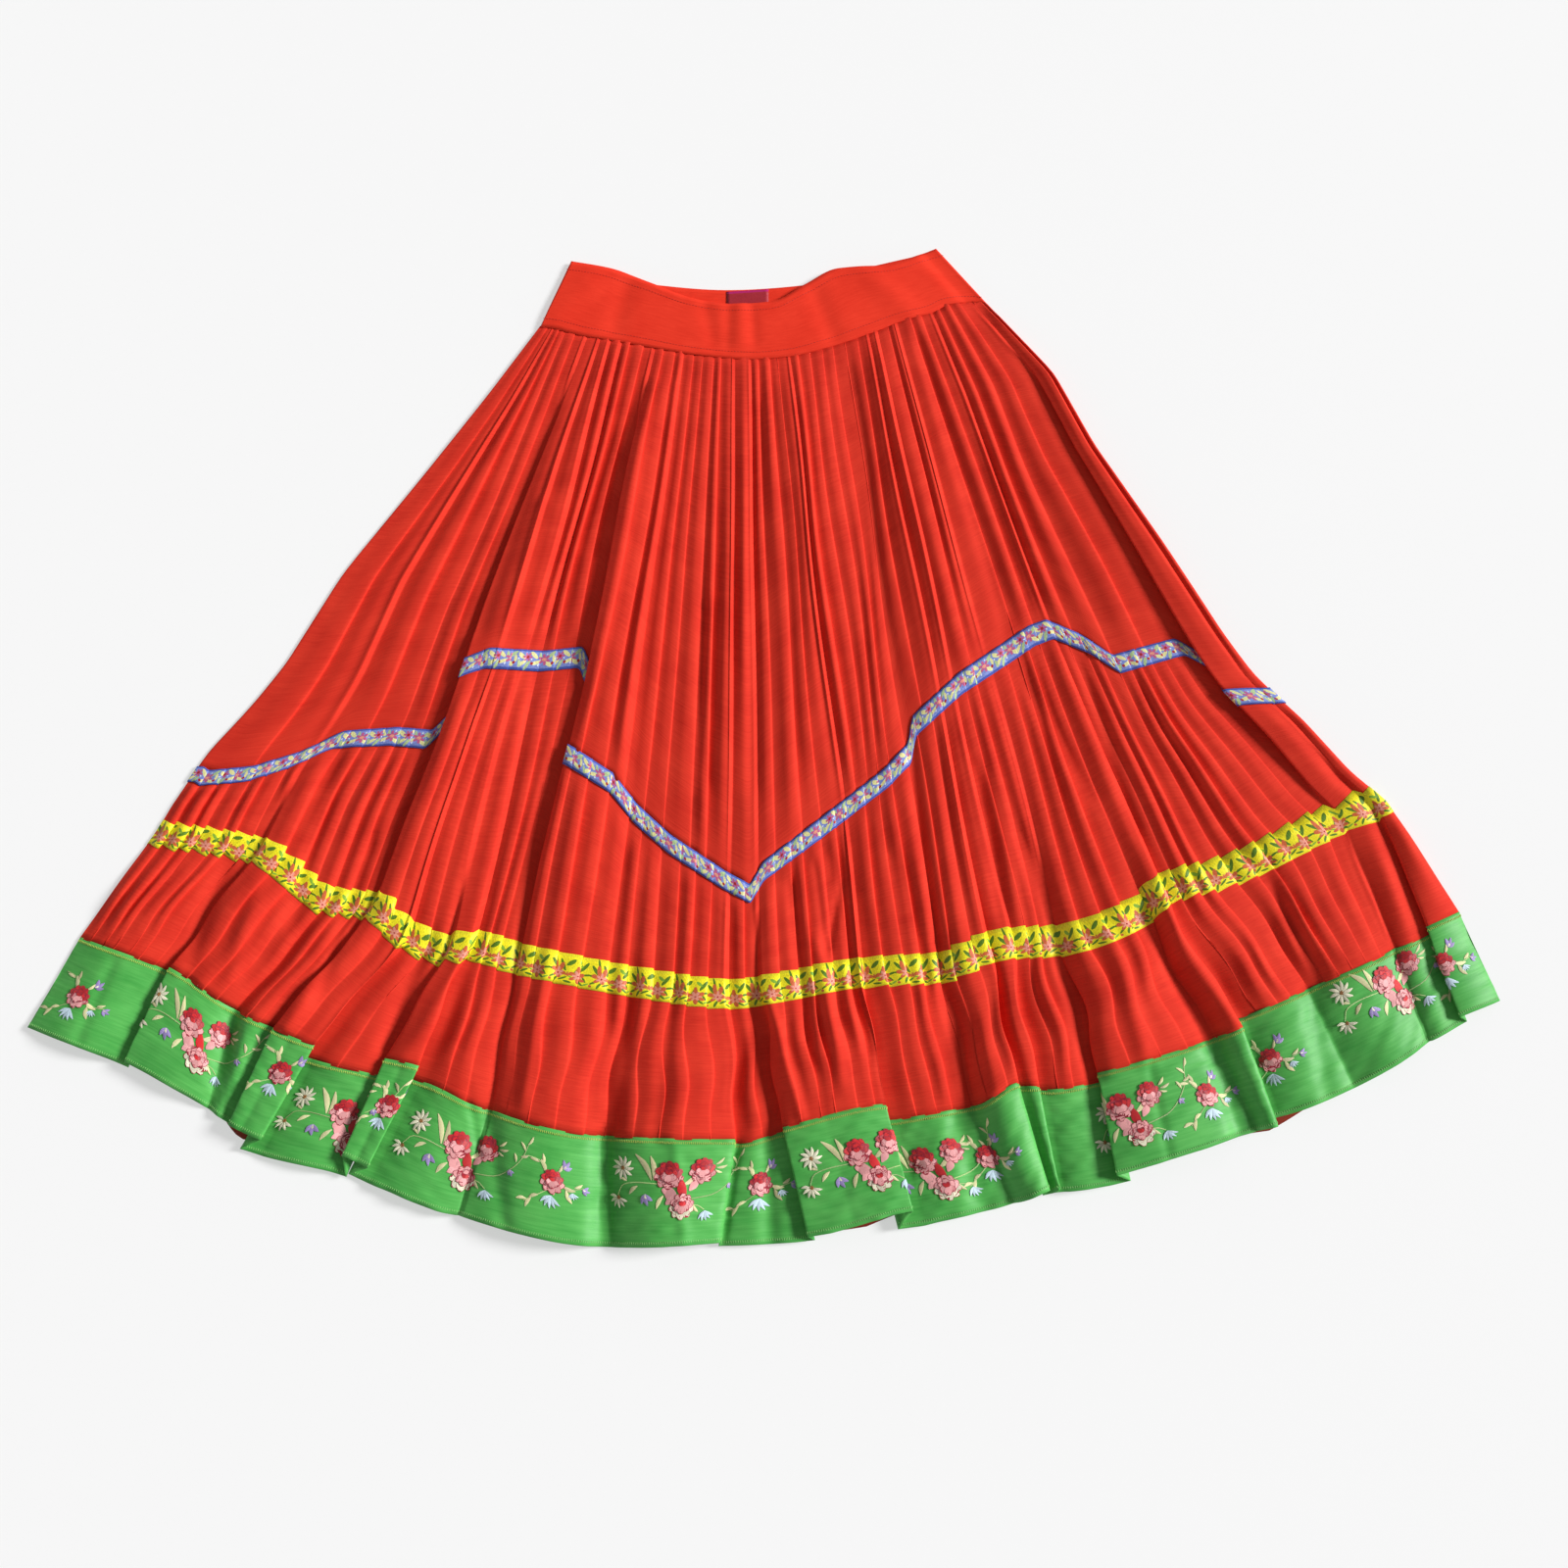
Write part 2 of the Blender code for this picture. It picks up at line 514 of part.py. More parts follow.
def back(collection):
    """The back of the skirt, flat on the surface."""
    across = np.linspace(0, 1, BACK_STATIONS)
    one = np.ones(BACK_STATIONS)
    cloth("upper_panel_back", flat_rows(across, one * WAIST, one * BACK_SEAM), RED, collection)
    tier = flat_rows(across, deeper(across, one * BACK_SEAM, SEAM_GAP), one * YELLOW_LINE,
                     one * BAND_SEAM)
    cloth("lower_tier_back", tier, RED, collection)
    middles = (ACROSS[:-1] + ACROSS[1:]) / 2
    hem = HEM + np.interp(across, middles, FOLD["peek"][:-1]) / BAND_DEPTH
    band = flat_rows(across, deeper(across, one * BAND_SEAM, SEAM_GAP), hem)
    cloth("hem_band_back", band, GREEN, collection)


def settle_on_origin(collection):
    """Moves every piece so that the part's box stands on the origin by its middle."""
    points = np.array([obj.matrix_world @ vertex.co
                       for obj in collection.objects for vertex in obj.data.vertices])
    middle = (points.min(axis=0) + points.max(axis=0)) / 2
    for obj in collection.objects:
        obj.data.transform(Matrix.Translation((-middle[0], -middle[1], 0)))


def main():
    for obj in list(bpy.data.objects):
        bpy.data.objects.remove(obj)
    collection = bpy.data.collections.new("pleated_skirt")
    bpy.context.scene.collection.children.link(collection)
    back(collection)
    front_panels(collection)
    hem_band(collection)
    waistbands(collection)
    settle_on_origin(collection)


main()
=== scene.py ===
"""Looks of the pleated skirt: its cloths, pleats, ribbons, stitching and embroidery."""

import math

import bpy
import numpy as np
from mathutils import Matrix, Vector


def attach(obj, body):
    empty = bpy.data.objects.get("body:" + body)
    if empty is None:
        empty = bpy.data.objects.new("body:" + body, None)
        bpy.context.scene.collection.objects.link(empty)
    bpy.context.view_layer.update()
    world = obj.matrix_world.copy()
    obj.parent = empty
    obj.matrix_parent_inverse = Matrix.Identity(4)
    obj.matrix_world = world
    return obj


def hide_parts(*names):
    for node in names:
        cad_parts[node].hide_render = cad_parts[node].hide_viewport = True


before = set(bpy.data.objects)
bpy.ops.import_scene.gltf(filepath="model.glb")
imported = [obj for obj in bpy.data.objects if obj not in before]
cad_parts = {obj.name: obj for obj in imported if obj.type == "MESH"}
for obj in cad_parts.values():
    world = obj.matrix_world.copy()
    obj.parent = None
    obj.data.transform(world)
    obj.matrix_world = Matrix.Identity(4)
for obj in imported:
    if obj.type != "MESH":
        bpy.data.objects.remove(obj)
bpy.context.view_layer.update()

# The camera stands where the photograph was taken from: nearly above the skirt, a little
# towards its hem.
def placed(name, data):
    """A new object in the scene."""
    obj = bpy.data.objects.new(name, data)
    bpy.context.scene.collection.objects.link(obj)
    return obj


PHOTO_CENTRE = Vector((0.017, -0.058, 0.003))
CAMERA_AWAY = 1.65
CAMERA_TILT = math.radians(10)
LENS = 40.84
camera_data = bpy.data.cameras.new("camera")
camera_data.lens = LENS
camera = placed("camera", camera_data)
camera.location = PHOTO_CENTRE + CAMERA_AWAY * Vector((0, -math.sin(CAMERA_TILT), math.cos(CAMERA_TILT)))
camera.rotation_euler = (CAMERA_TILT, 0, 0)
bpy.context.scene.camera = camera

# The light comes low from the right, as from a wide window, and the white room fills it in.
# The floor is a pale light table with far walls, whose own glow keeps the skirt's shadow faint.
WINDOW_HEIGHT, WINDOW_TURN, WINDOW_SPREAD = math.radians(27), math.radians(12), math.radians(17)
WINDOW_LIGHT, ROOM_LIGHT = 5.0, 0.26
window_data = bpy.data.lights.new("window", "SUN")
window_data.energy = WINDOW_LIGHT
window_data.angle = WINDOW_SPREAD
window = placed("window", window_data)
window.rotation_euler = (0, math.pi / 2 - WINDOW_HEIGHT, WINDOW_TURN)
world = bpy.data.worlds.new("room")
world.use_nodes = True
background = world.node_tree.nodes["Background"].inputs
background["Color"].default_value = (1, 1, 1, 1)
background["Strength"].default_value = ROOM_LIGHT
bpy.context.scene.world = world
bpy.context.scene.view_settings.view_transform = "Standard"

FLOOR_HALF, WALL_HEIGHT = 40.0, 11.0
FLOOR_PAINT, FLOOR_GLOW, FLOOR_ROUGH = 0.4, 0.51, 0.9
CORNERS = ((-1, -1), (1, -1), (1, 1), (-1, 1))
floor_mesh = bpy.data.meshes.new("floor")
floor_mesh.from_pydata([(x * FLOOR_HALF, y * FLOOR_HALF, z) for z in (0, WALL_HEIGHT) for x, y in CORNERS],
                       [], [(0, 1, 2, 3), (0, 4, 5, 1), (1, 5, 6, 2), (2, 6, 7, 3), (3, 7, 4, 0)])
floor = placed("floor", floor_mesh)
floor_material = bpy.data.materials.new("pale_table")
floor_material.use_nodes = True
floor_look = floor_material.node_tree.nodes["Principled BSDF"].inputs
floor_look["Base Color"].default_value = (FLOOR_PAINT, FLOOR_PAINT, FLOOR_PAINT, 1)
floor_look["Emission Color"].default_value = (1, 1, 1, 1)
floor_look["Emission Strength"].default_value = FLOOR_GLOW
floor_look["Roughness"].default_value = FLOOR_ROUGH
floor_mesh.materials.append(floor_material)

# Upper panel of the front: fine red cotton, knife-pleated from the waist so that every strip
# lies over the next one to its right, with large folds that run on down to the hem. It is sewn
# to the waistband and, along a zigzag, to the lower tier.

# Fold lines that all the front's pieces follow, in mm from the photograph's centre. Side is 1
# where the strip right of a fold lies on top, -1 where the left one does, and 0 on a smooth ridge
# or valley. Tucks and pleats are counts up to the next fold.
COLUMNS = ("waist_x waist_y yellow_x yellow_y seam_x seam_y hem_x hem_y side lap_blue "
           "drop_blue drop_yellow lap_hem drop_hem step crown peek tucks pleats").split()
FOLDS = {
    "left_side":  (-236, 452, -579, -45, -643, -143, -684, -224, 0, 0, 0, 0, 0, 0, 0, 7, -5, 2, 7),
    "gore_1":     (-223, 450, -483, -62, -560, -170, -595, -254, 1, 0, 0, 3, 7, 8, 4, 3, -5, 2, 4),
    "valley_2":   (-212, 447, -415, -109, -498, -209, -518, -296, 0, 0, 0, 0, 0, 0, 0, 6, -5, 2, 3),
    "fold_b":     (-192, 442, -375, -114, -462, -225, -498, -309, 1, 22, 7, 3, 16, 11, 0, 2, 8, 1, 2),
    "flap_4":     (-179, 440, -342, -141, -420, -241, -464, -324, -1, 0, 0, 2, 18, 11, 14, 4, -4, 1, 2),
    "gore_6":     (-169, 438, -307, -154, -361, -252, -395, -337, 1, 0, 0, 3, 13, 10, 17, 1, 3, 1, 1),
    "flap_6":     (-158, 436, -286, -151, -326, -260, -368, -349, -1, 0, 0, 2, 18, 10, 13, 5, -5, 3, 3),
    "fold_a":     (-126, 430, -241, -162, -264, -298, -288, -390, 1, 26, 7, 2, 0, 2, 0, 9, -5, 4, 5),
    "valley_8":   (-87, 423, -143, -181, -161, -321, -153, -417, 0, 0, 0, 0, 0, 0, 0, 9, -5, 4, 5),
    "gore_9":     (-49, 419, -50, -193, -41, -324, -54, -413, -1, 0, 0, 2, 5, 5, 3, 2, -5, 1, 2),
    "gore_10":    (-33, 418, -22, -190, -3, -314, 19, -408, 1, 0, 0, 3, 9, 9, 4, 4, 4, 4, 6),
    "flap_10":    (5, 421, 71, -174, 93, -293, 116, -385, -1, 0, 0, 2, 20, 12, 15, 4, -5, 5, 4),
    "gore_11":    (59, 436, 141, -170, 169, -295, 205, -379, 0, 0, 0, 0, 0, 0, 0, 6, -4, 2, 3),
    "flap_12":    (81, 444, 186, -152, 212, -274, 238, -367, -1, 0, 0, 3, 10, 9, 4, 2, 4, 1, 1),
    "ridge_12":   (89, 447, 206, -148, 231, -277, 247, -366, -1, 0, 0, 2, 8, 6, 3, 3, -4, 2, 3),
    "gore_14":    (108, 455, 253, -145, 280, -266, 293, -355, 1, 0, 0, 3, 16, 10, 8, 5, -4, 2, 4),
    "valley_14":  (133, 463, 328, -117, 390, -234, 424, -316, 0, 0, 0, 0, 0, 0, 0, 3, 3, 1, 1),
    "flap_15":    (143, 466, 345, -100, 415, -223, 443, -311, -1, 0, 0, 2, 12, 10, -7, 6, -5, 2, 4),
    "dip_16":     (160, 475, 410, -81, 477, -190, 514, -278, 0, 0, 0, 0, 0, 0, 0, 7, -5, 2, 6),
    "fold_c":     (182, 478, 514, -32, 556, -154, 583, -237, 1, 18, 7, 1, 0, 0, 0, 3, -4, 1, 1),
    "gore_17":    (193, 477, 546, -19, 584, -135, 609, -216, 1, 0, 0, 2, 10, 7, 7, 2, -4, 1, 1),
    "right_side": (197, 476, 556, -14, 618, -120, 650, -200, 0, 0, 0, 0, 0, 0, 0, 0, -4, 0, 0),
}
NAMES = list(FOLDS)
FOLD = {c: np.array([row[i] for row in FOLDS.values()], float) for i, c in enumerate(COLUMNS)}
# The soft folds puff up past the plain solids' height
PUFF_BLUE, PUFF_YELLOW = 1.25, 1.8
FOLD["drop_blue"] *= PUFF_BLUE
FOLD["drop_yellow"] *= PUFF_YELLOW
# How far the side outlines stand off a straight line, by depth from waist to yellow ribbon
SWAY = {
    "depth": (0.0, 0.15, 0.3, 0.5, 0.68, 0.76, 0.85, 0.95, 1.0),
    "left": (0, 0, -3, -9, 2, 0, -8, -4, 0),
    "right": (0, 9, -8, -18, -30, -32, -20, -12, 0),
}
SWAY_REACH = 0.2

# Depths between which the folds rise and lap, and how far across a layer stays up
BLUE_LEVELS = (0.05, 0.2, 0.6, 0.85, 1.0)
BLUE_SHARES = (0.0, 0.5, 1.0, 1.0, 0.0)
BLUE_REACH = 0.075
SEAM_SHARE = 0.9
# Centre line of the blue ribbon over the zigzag seam, by the folds that it lies between
ZIGZAG = {
    ("left_side", "fold_b"): ((-543, 9), (-538, 5), (-495, 9), (-451, 24), (-415, 42),
                              (-363, 45), (-330, 42), (-283, 92)),
    ("fold_b", "fold_a"): ((-310, 105), (-277, 118), (-225, 118), (-190, 122), (-168, 68)),
    ("fold_a", "fold_c"): ((-215, 36), (-159, 0), (-137, -28), (-105, -57), (-55, -90),
                           (-31, -103), (-19, -82), (32, -43), (95, 6), (117, 30), (121, 55),
                           (165, 96), (233, 143), (250, 149), (282, 135), (311, 114),
                           (371, 131), (389, 122), (417, 105)),
    ("fold_c", "right_side"): ((400, 78), (420, 81), (470, 83)),
}
MM, TINY, NEARBY = 0.001, 1e-9, 0.002
# From the photograph's centre to the model's origin
SETTLE = np.array([17.0, -58.0, 0.0])
# Height of the front's cloth at its sides, and what it gains by the middle
FRONT_MID, FRONT_SWELL = 2.0, 1.8
BLUE_RIBBON, YELLOW_RIBBON = 18.0, 27.0
CLOTH_WALL = 0.6
# Half the run of a folded edge, the most it takes of a strip, and where along it the cloth turns
FOLD_RUN, RUN_SHARE, TURN = 1.9, 0.25, 1 / 3
# Share of a strip that goes flat towards an open fold, and how open the fold is by then
LEVEL_UNDER, FLAT_FROM = 0.4, 3.0
CROWN_SHARE, CROWN_FROM = 1.4, 0.5
# A pleat from its start to its edge: share of its width, share of its height, push in mm. One
# is pressed sharp, the other has sprung open to a soft roll, and each pleat lies between them.
PLEAT = ((0.0, 0.0, -0.9), (0.14, 0.05, 0.0), (0.38, 0.35, 0.0), (0.6, 0.85, 0.0),
         (0.8, 1.0, 0.0), (1.0, 0.92, 0.7), (1.0, 0.45, 0.3))
ROLLED = ((0.0, 0.0, -0.6), (0.12, 0.1, 0.0), (0.32, 0.5, 0.0), (0.48, 0.9, 0.0),
          (0.62, 1.0, 0.0), (0.82, 0.72, 0.0), (1.0, 0.25, 0.0))
# How seldom pleats roll, the spread of their strength, their bend, and where their edge begins
ROLLED_SELDOM, WEAKEST, STRONGEST, PLEAT_BEND, EDGE_FROM = 1.4, -0.6, 0.25, 0.1, 0.9
# The cloth turns under at the skirt's two sides: push and sink of its last two columns in mm
SIDE_TURN = ((0.4, 1.7), (1.2, 0.9))
# Depths between which laps, swells, sways and stepped edges set in or fade, and the share of the
# front at each side where nothing sways
LAP_OPENS, LAP_CLOSES, HEM_LAP_OPENS = (0.08, 0.3), (0.88, 0.98), (1.0, 1.7)
SWELL_OPENS, SWAY_OPENS, SWAY_CLOSES, STEP_FROM = (0.05, 0.4), (0.0, 0.35), (1.6, 1.95), 1.2
SIDE_HELD = 0.04
WAVE_COUNT, WAVE_RATES, WAVE_SCALE = 5, (0.5, 1.5), 2.5
rng = np.random.default_rng(11)


def smooth_through(knots, values, at):
    """Monotone cubic through the knots, so that no bump appears between two rows."""
    step = np.diff(knots)
    slope = np.diff(values) / step
    tangent = np.zeros(len(knots))
    tangent[0], tangent[-1] = slope[0], slope[-1]
    same = slope[:-1] * slope[1:] > 0
    safe = np.where(same, slope[:-1] + slope[1:], 1.0)
    tangent[1:-1] = np.where(same, 2 * slope[:-1] * slope[1:] / safe, 0.0)
    i = np.clip(np.searchsorted(knots, at, side="right") - 1, 0, len(step) - 1)
    t = (at - knots[i]) / step[i]
    a = (1 + 2 * t) * (1 - t) ** 2 * values[i] + t * (1 - t) ** 2 * step[i] * tangent[i]
    b = t ** 2 * (3 - 2 * t) * values[i + 1] - t ** 2 * (1 - t) * step[i] * tangent[i + 1]
    return a + b


def ease(low, high, value):
    """A smooth rise from 0 to 1 as the value goes from low to high."""
    t = np.clip((value - low) / (high - low), 0.0, 1.0)
    return t * t * (3 - 2 * t)


def share(column):
    """Places of a row of folds, from 0 at the first to 1 at the last."""
    return (column - column[0]) / (column[-1] - column[0])


# Place across the front, from 0 at the left side to 1 at the right side
ACROSS = (share(FOLD["waist_x"]) + share(FOLD["yellow_x"])) / 2
LEVELS = [(FOLD[f"{level}_x"], FOLD[f"{level}_y"]) for level in ("waist", "yellow", "seam", "hem")]
WAIST, YELLOW_LINE, BAND_SEAM, HEM = 0.0, 1.0, 2.0, 3.0
PANEL_WIDTHS = np.array([np.hypot(np.diff(x), np.diff(y)) for x, y in LEVELS])


def plan(across, depth):
    """Plan position at a place across and a depth, which counts the levels down."""
    rows = [np.stack([smooth_through(ACROSS, x, across), smooth_through(ACROSS, y, across)], -1)
            for x, y in LEVELS]
    rows = np.stack(rows)
    low = np.clip(np.floor(depth).astype(int), 0, 2)
    part = (depth - low)[..., None]
    columns = np.arange(len(across))
    place = rows[low, columns] * (1 - part) + rows[low + 1, columns] * part
    left = np.interp(depth, SWAY["depth"], SWAY["left"]) * (1 - ease(0, SWAY_REACH, across))
    right = np.interp(depth, SWAY["depth"], SWAY["right"]) * ease(1 - SWAY_REACH, 1, across)
    place[:, 0] += np.where(depth < YELLOW_LINE, left + right, 0.0)
    return place


def directions(across, depth):
    """Unit vectors across the front and down the pleats, and the width in mm of one unit across."""
    low, high = np.clip(across - NEARBY, 0, 1), np.clip(across + NEARBY, 0, 1)
    sideways = plan(high, depth) - plan(low, depth)
    up, down = np.clip(depth - NEARBY, WAIST, HEM), np.clip(depth + NEARBY, WAIST, HEM)
    downwards = plan(across, down) - plan(across, up)
    wide = np.linalg.norm(sideways, axis=1)
    return (sideways / wide[:, None], downwards / np.linalg.norm(downwards, axis=1)[:, None],
            wide / np.maximum(high - low, TINY))


def deeper(across, depth, distance):
    """Depth reached by going a distance down the pleats, or up them where it is negative."""
    whole = np.clip(np.where(distance > 0, np.floor(depth), np.ceil(depth) - 1), 0, 2)
    length = np.linalg.norm(plan(across, whole + 1) - plan(across, whole), axis=1)
    return depth + distance / length


def width_at(panel, depth):
    """Width of a panel between two folds, at a depth."""
    low = np.clip(np.floor(depth).astype(int), 0, 2)
    panel = np.clip(panel, 0, len(NAMES) - 2)
    return (PANEL_WIDTHS[low, panel] * (low + 1 - depth)
            + PANEL_WIDTHS[low + 1, panel] * (depth - low))


def blue_drop(fold, depth):
    """How high the upper layer lies at the blue ribbon's folds, above the layer under it."""
    return FOLD["drop_blue"][fold] * np.interp(depth, BLUE_LEVELS, BLUE_SHARES)


def hem_drop(fold, depth):
    """How high the upper layer lies at a fold, from the yellow ribbon down."""
    yellow, hem = FOLD["drop_yellow"][fold], FOLD["drop_hem"][fold]
    above = yellow * np.clip((depth - BLUE_LEVELS[-2]) / (YELLOW_LINE - BLUE_LEVELS[-2]), 0, 1)
    to_seam = (SEAM_SHARE * hem - yellow) * np.clip(depth - YELLOW_LINE, 0, 1)
    return above + to_seam + (1 - SEAM_SHARE) * hem * np.clip(depth - BAND_SEAM, 0, 1)


def blue_rise(across, panel, depth):
    """Height of the layers that lie over the folds at the blue ribbon, from there rightwards."""
    rise = np.zeros(len(across))
    for fold in np.flatnonzero(FOLD["drop_blue"]):
        away = np.clip((across - ACROSS[fold]) / BLUE_REACH, 0, 1)
        rise += np.where(panel >= fold, blue_drop(fold, depth) * (1 - away ** 2), 0)
    return rise


def waves(across_rate, depth_rate):
    """An uneven height between -1 and 1 over the front, as hand-pressed cloth has."""
    turns = rng.uniform(*WAVE_RATES, (WAVE_COUNT, 2)) * (across_rate, depth_rate)
    phases = rng.uniform(0, 2 * math.pi, WAVE_COUNT)

    def height(across, depth):
        return sum(np.sin(2 * math.pi * (a * across + d * depth) + phase)
                   for (a, d), phase in zip(turns, phases)) / WAVE_SCALE
    return height


PLEATS_FADE, PLEATS_SWAY, SOFT_SWELL = waves(7, 1.1), waves(9, 1.0), waves(4, 1.0)
SWAY_BY, SWELL_BY, FADE_BY = 2.4, 1.4, 0.4

# Soft creases, given one by one: width and height in mm, then the way they run in the
# photograph's pixels. A trough has a height below zero.
CREASES = (
    (16, 4.0, (672, 400), (652, 450), (634, 540), (612, 660)),
    (10, -2.0, (655, 400), (628, 450), (604, 560)), (9, -1.8, (674, 384), (706, 378)),
    (15, -3.6, (862, 385), (893, 560), (926, 740)), (8, -2.6, (938, 352), (985, 500), (1030, 650)),
    (10, -2.2, (562, 420), (520, 560), (492, 640)), (9, 2.4, (900, 370), (940, 520), (985, 680)),
    (12, 2.6, (805, 400), (820, 560), (828, 760)), (9, -2.4, (770, 420), (772, 600), (768, 800)),
    (12, 3.0, (560, 520), (520, 620), (505, 668)), (9, -4.0, (437, 960), (415, 1010), (395, 1070)),
    (10, -3.0, (345, 770), (318, 860), (300, 940)), (8, -4.0, (768, 1020), (780, 1090), (792, 1150)),
    (5, 3.2, (784, 1020), (802, 1080), (818, 1140)), (12, -5.0, (958, 968), (978, 1060), (994, 1125)),
    (8, -3.6, (930, 760), (942, 860), (956, 960)), (9, -5.0, (1084, 965), (1102, 1050), (1116, 1094)),
    (8, -3.4, (1040, 850), (1062, 900), (1082, 958)),
    (7, -4.0, (1165, 935), (1205, 1010), (1238, 1060)),
    (8, -3.0, (1032, 668), (1072, 740), (1112, 810)), (4, -2.4, (832, 884), (842, 970)),
    (4, -2.2, (858, 902), (844, 970)), (9, -3.0, (918, 880), (944, 1000)),
    (8, 3.0, (1185, 925), (1232, 1010), (1262, 1046)), (7, 2.6, (650, 870), (640, 960), (632, 1040)),
    (11, 3.6, (478, 735), (455, 790), (425, 880), (400, 935)),
    (9, 3.4, (352, 955), (318, 1010), (300, 1045)), (9, 3.0, (470, 985), (440, 1040), (415, 1080)),
    (8, -3.0, (596, 700), (570, 780), (550, 860)), (7, 2.4, (1010, 800), (1030, 880), (1040, 950)),
    (8, 3.0, (1130, 950), (1150, 1020), (1165, 1078)),
    (9, 3.0, (1020, 975), (1030, 1040), (1036, 1100)), (8, -2.4, (232, 880), (205, 950), (195, 1000)),
    (9, 2.4, (270, 900), (250, 960), (235, 1020)), (8, -2.8, (560, 800), (545, 900), (530, 975)),
    (8, -2.6, (690, 1010), (678, 1090), (670, 1160)), (10, -4.0, (238, 1030), (228, 1135)),
    (9, -5.0, (617, 1158), (612, 1270)), (4, -2.0, (753, 1165), (738, 1262)),
    (9, -4.0, (782, 1158), (786, 1262)), (12, -4.5, (976, 1140), (1004, 1240)),
    (9, -4.0, (1236, 1066), (1264, 1162)), (4, -1.5, (478, 1112), (490, 1180)),
    (8, -2.2, (500, 1138), (516, 1250)), (10, -2.6, (1335, 1012), (1352, 1116)),
    (6, -1.4, (118, 985), (84, 1060)), (6, 1.6, (690, 1170), (700, 1270)),
    (5, -1.2, (1170, 1085), (1190, 1185)), (8, -1.1, (720, 312), (728, 350)),
    (6, -0.9, (744, 314), (742, 352)), (6, -0.8, (767, 313), (770, 350)),
    (8, 0.9, (756, 316), (756, 350)), (10, -1.3, (832, 300), (850, 344)),
    (11, -1.3, (640, 290), (628, 335)), (9, -3.6, (948, 256), (1004, 320)),
    (14, 1.5, (880, 272), (930, 322)), (16, 1.4, (600, 292), (570, 320)),
    (7, -3.6, (806, 905), (815, 980), (826, 1060)), (7, -3.2, (852, 880), (866, 980), (886, 1070)),
    (6, 2.4, (832, 960), (846, 1040), (856, 1100)), (7, -3.0, (1000, 790), (1014, 860), (1020, 930)),
    (7, -2.6, (648, 1000), (640, 1080), (630, 1150)), (6, 2.2, (560, 980), (545, 1060), (536, 1120)),
    (7, -2.8, (380, 860), (352, 940), (330, 1010)), (7, -3.0, (1290, 880), (1322, 950), (1346, 1004)),
    (8, -2.6, (1100, 660), (1128, 750), (1158, 850)), (6, -2.2, (720, 620), (718, 720), (720, 800)))
LOWEST = 1.4
HALF_PHOTO, FOCAL = 800, 1815


def photo_place(x, y):
    """The place in mm on the surface that the camera sees at a pixel of the photograph."""
    up_view = HALF_PHOTO - y
    far = up_view * CAMERA_AWAY / (FOCAL * math.cos(CAMERA_TILT) - up_view * math.sin(CAMERA_TILT))
    return (x - HALF_PHOTO) * (CAMERA_AWAY + far * math.sin(CAMERA_TILT)) / FOCAL / MM, far / MM


def creased(grid):
    """The grid with the listed creases pressed into it, never lower than the back's cloth."""
    grid = grid.copy()
    at = grid[..., :2].reshape(-1, 2)
    for wide, high, *way in CREASES:
        way = np.array([photo_place(*place) for place in way])
        away = np.full(len(at), np.inf)
        for start, end in zip(way[:-1], way[1:]):
            run = end - start
            part = np.clip((at - start) @ run / (run @ run), 0, 1)
            away = np.minimum(away, np.linalg.norm(at - start - part[:, None] * run, axis=1))
        grid[..., 2] += (high * np.exp(-(away / wide) ** 2)).reshape(grid.shape[:2])
    low = grid[..., 2] < LOWEST + 1
    grid[..., 2] = np.where(low, LOWEST + np.exp(np.minimum(grid[..., 2] - LOWEST - 1, 0)), grid[..., 2])
    return grid


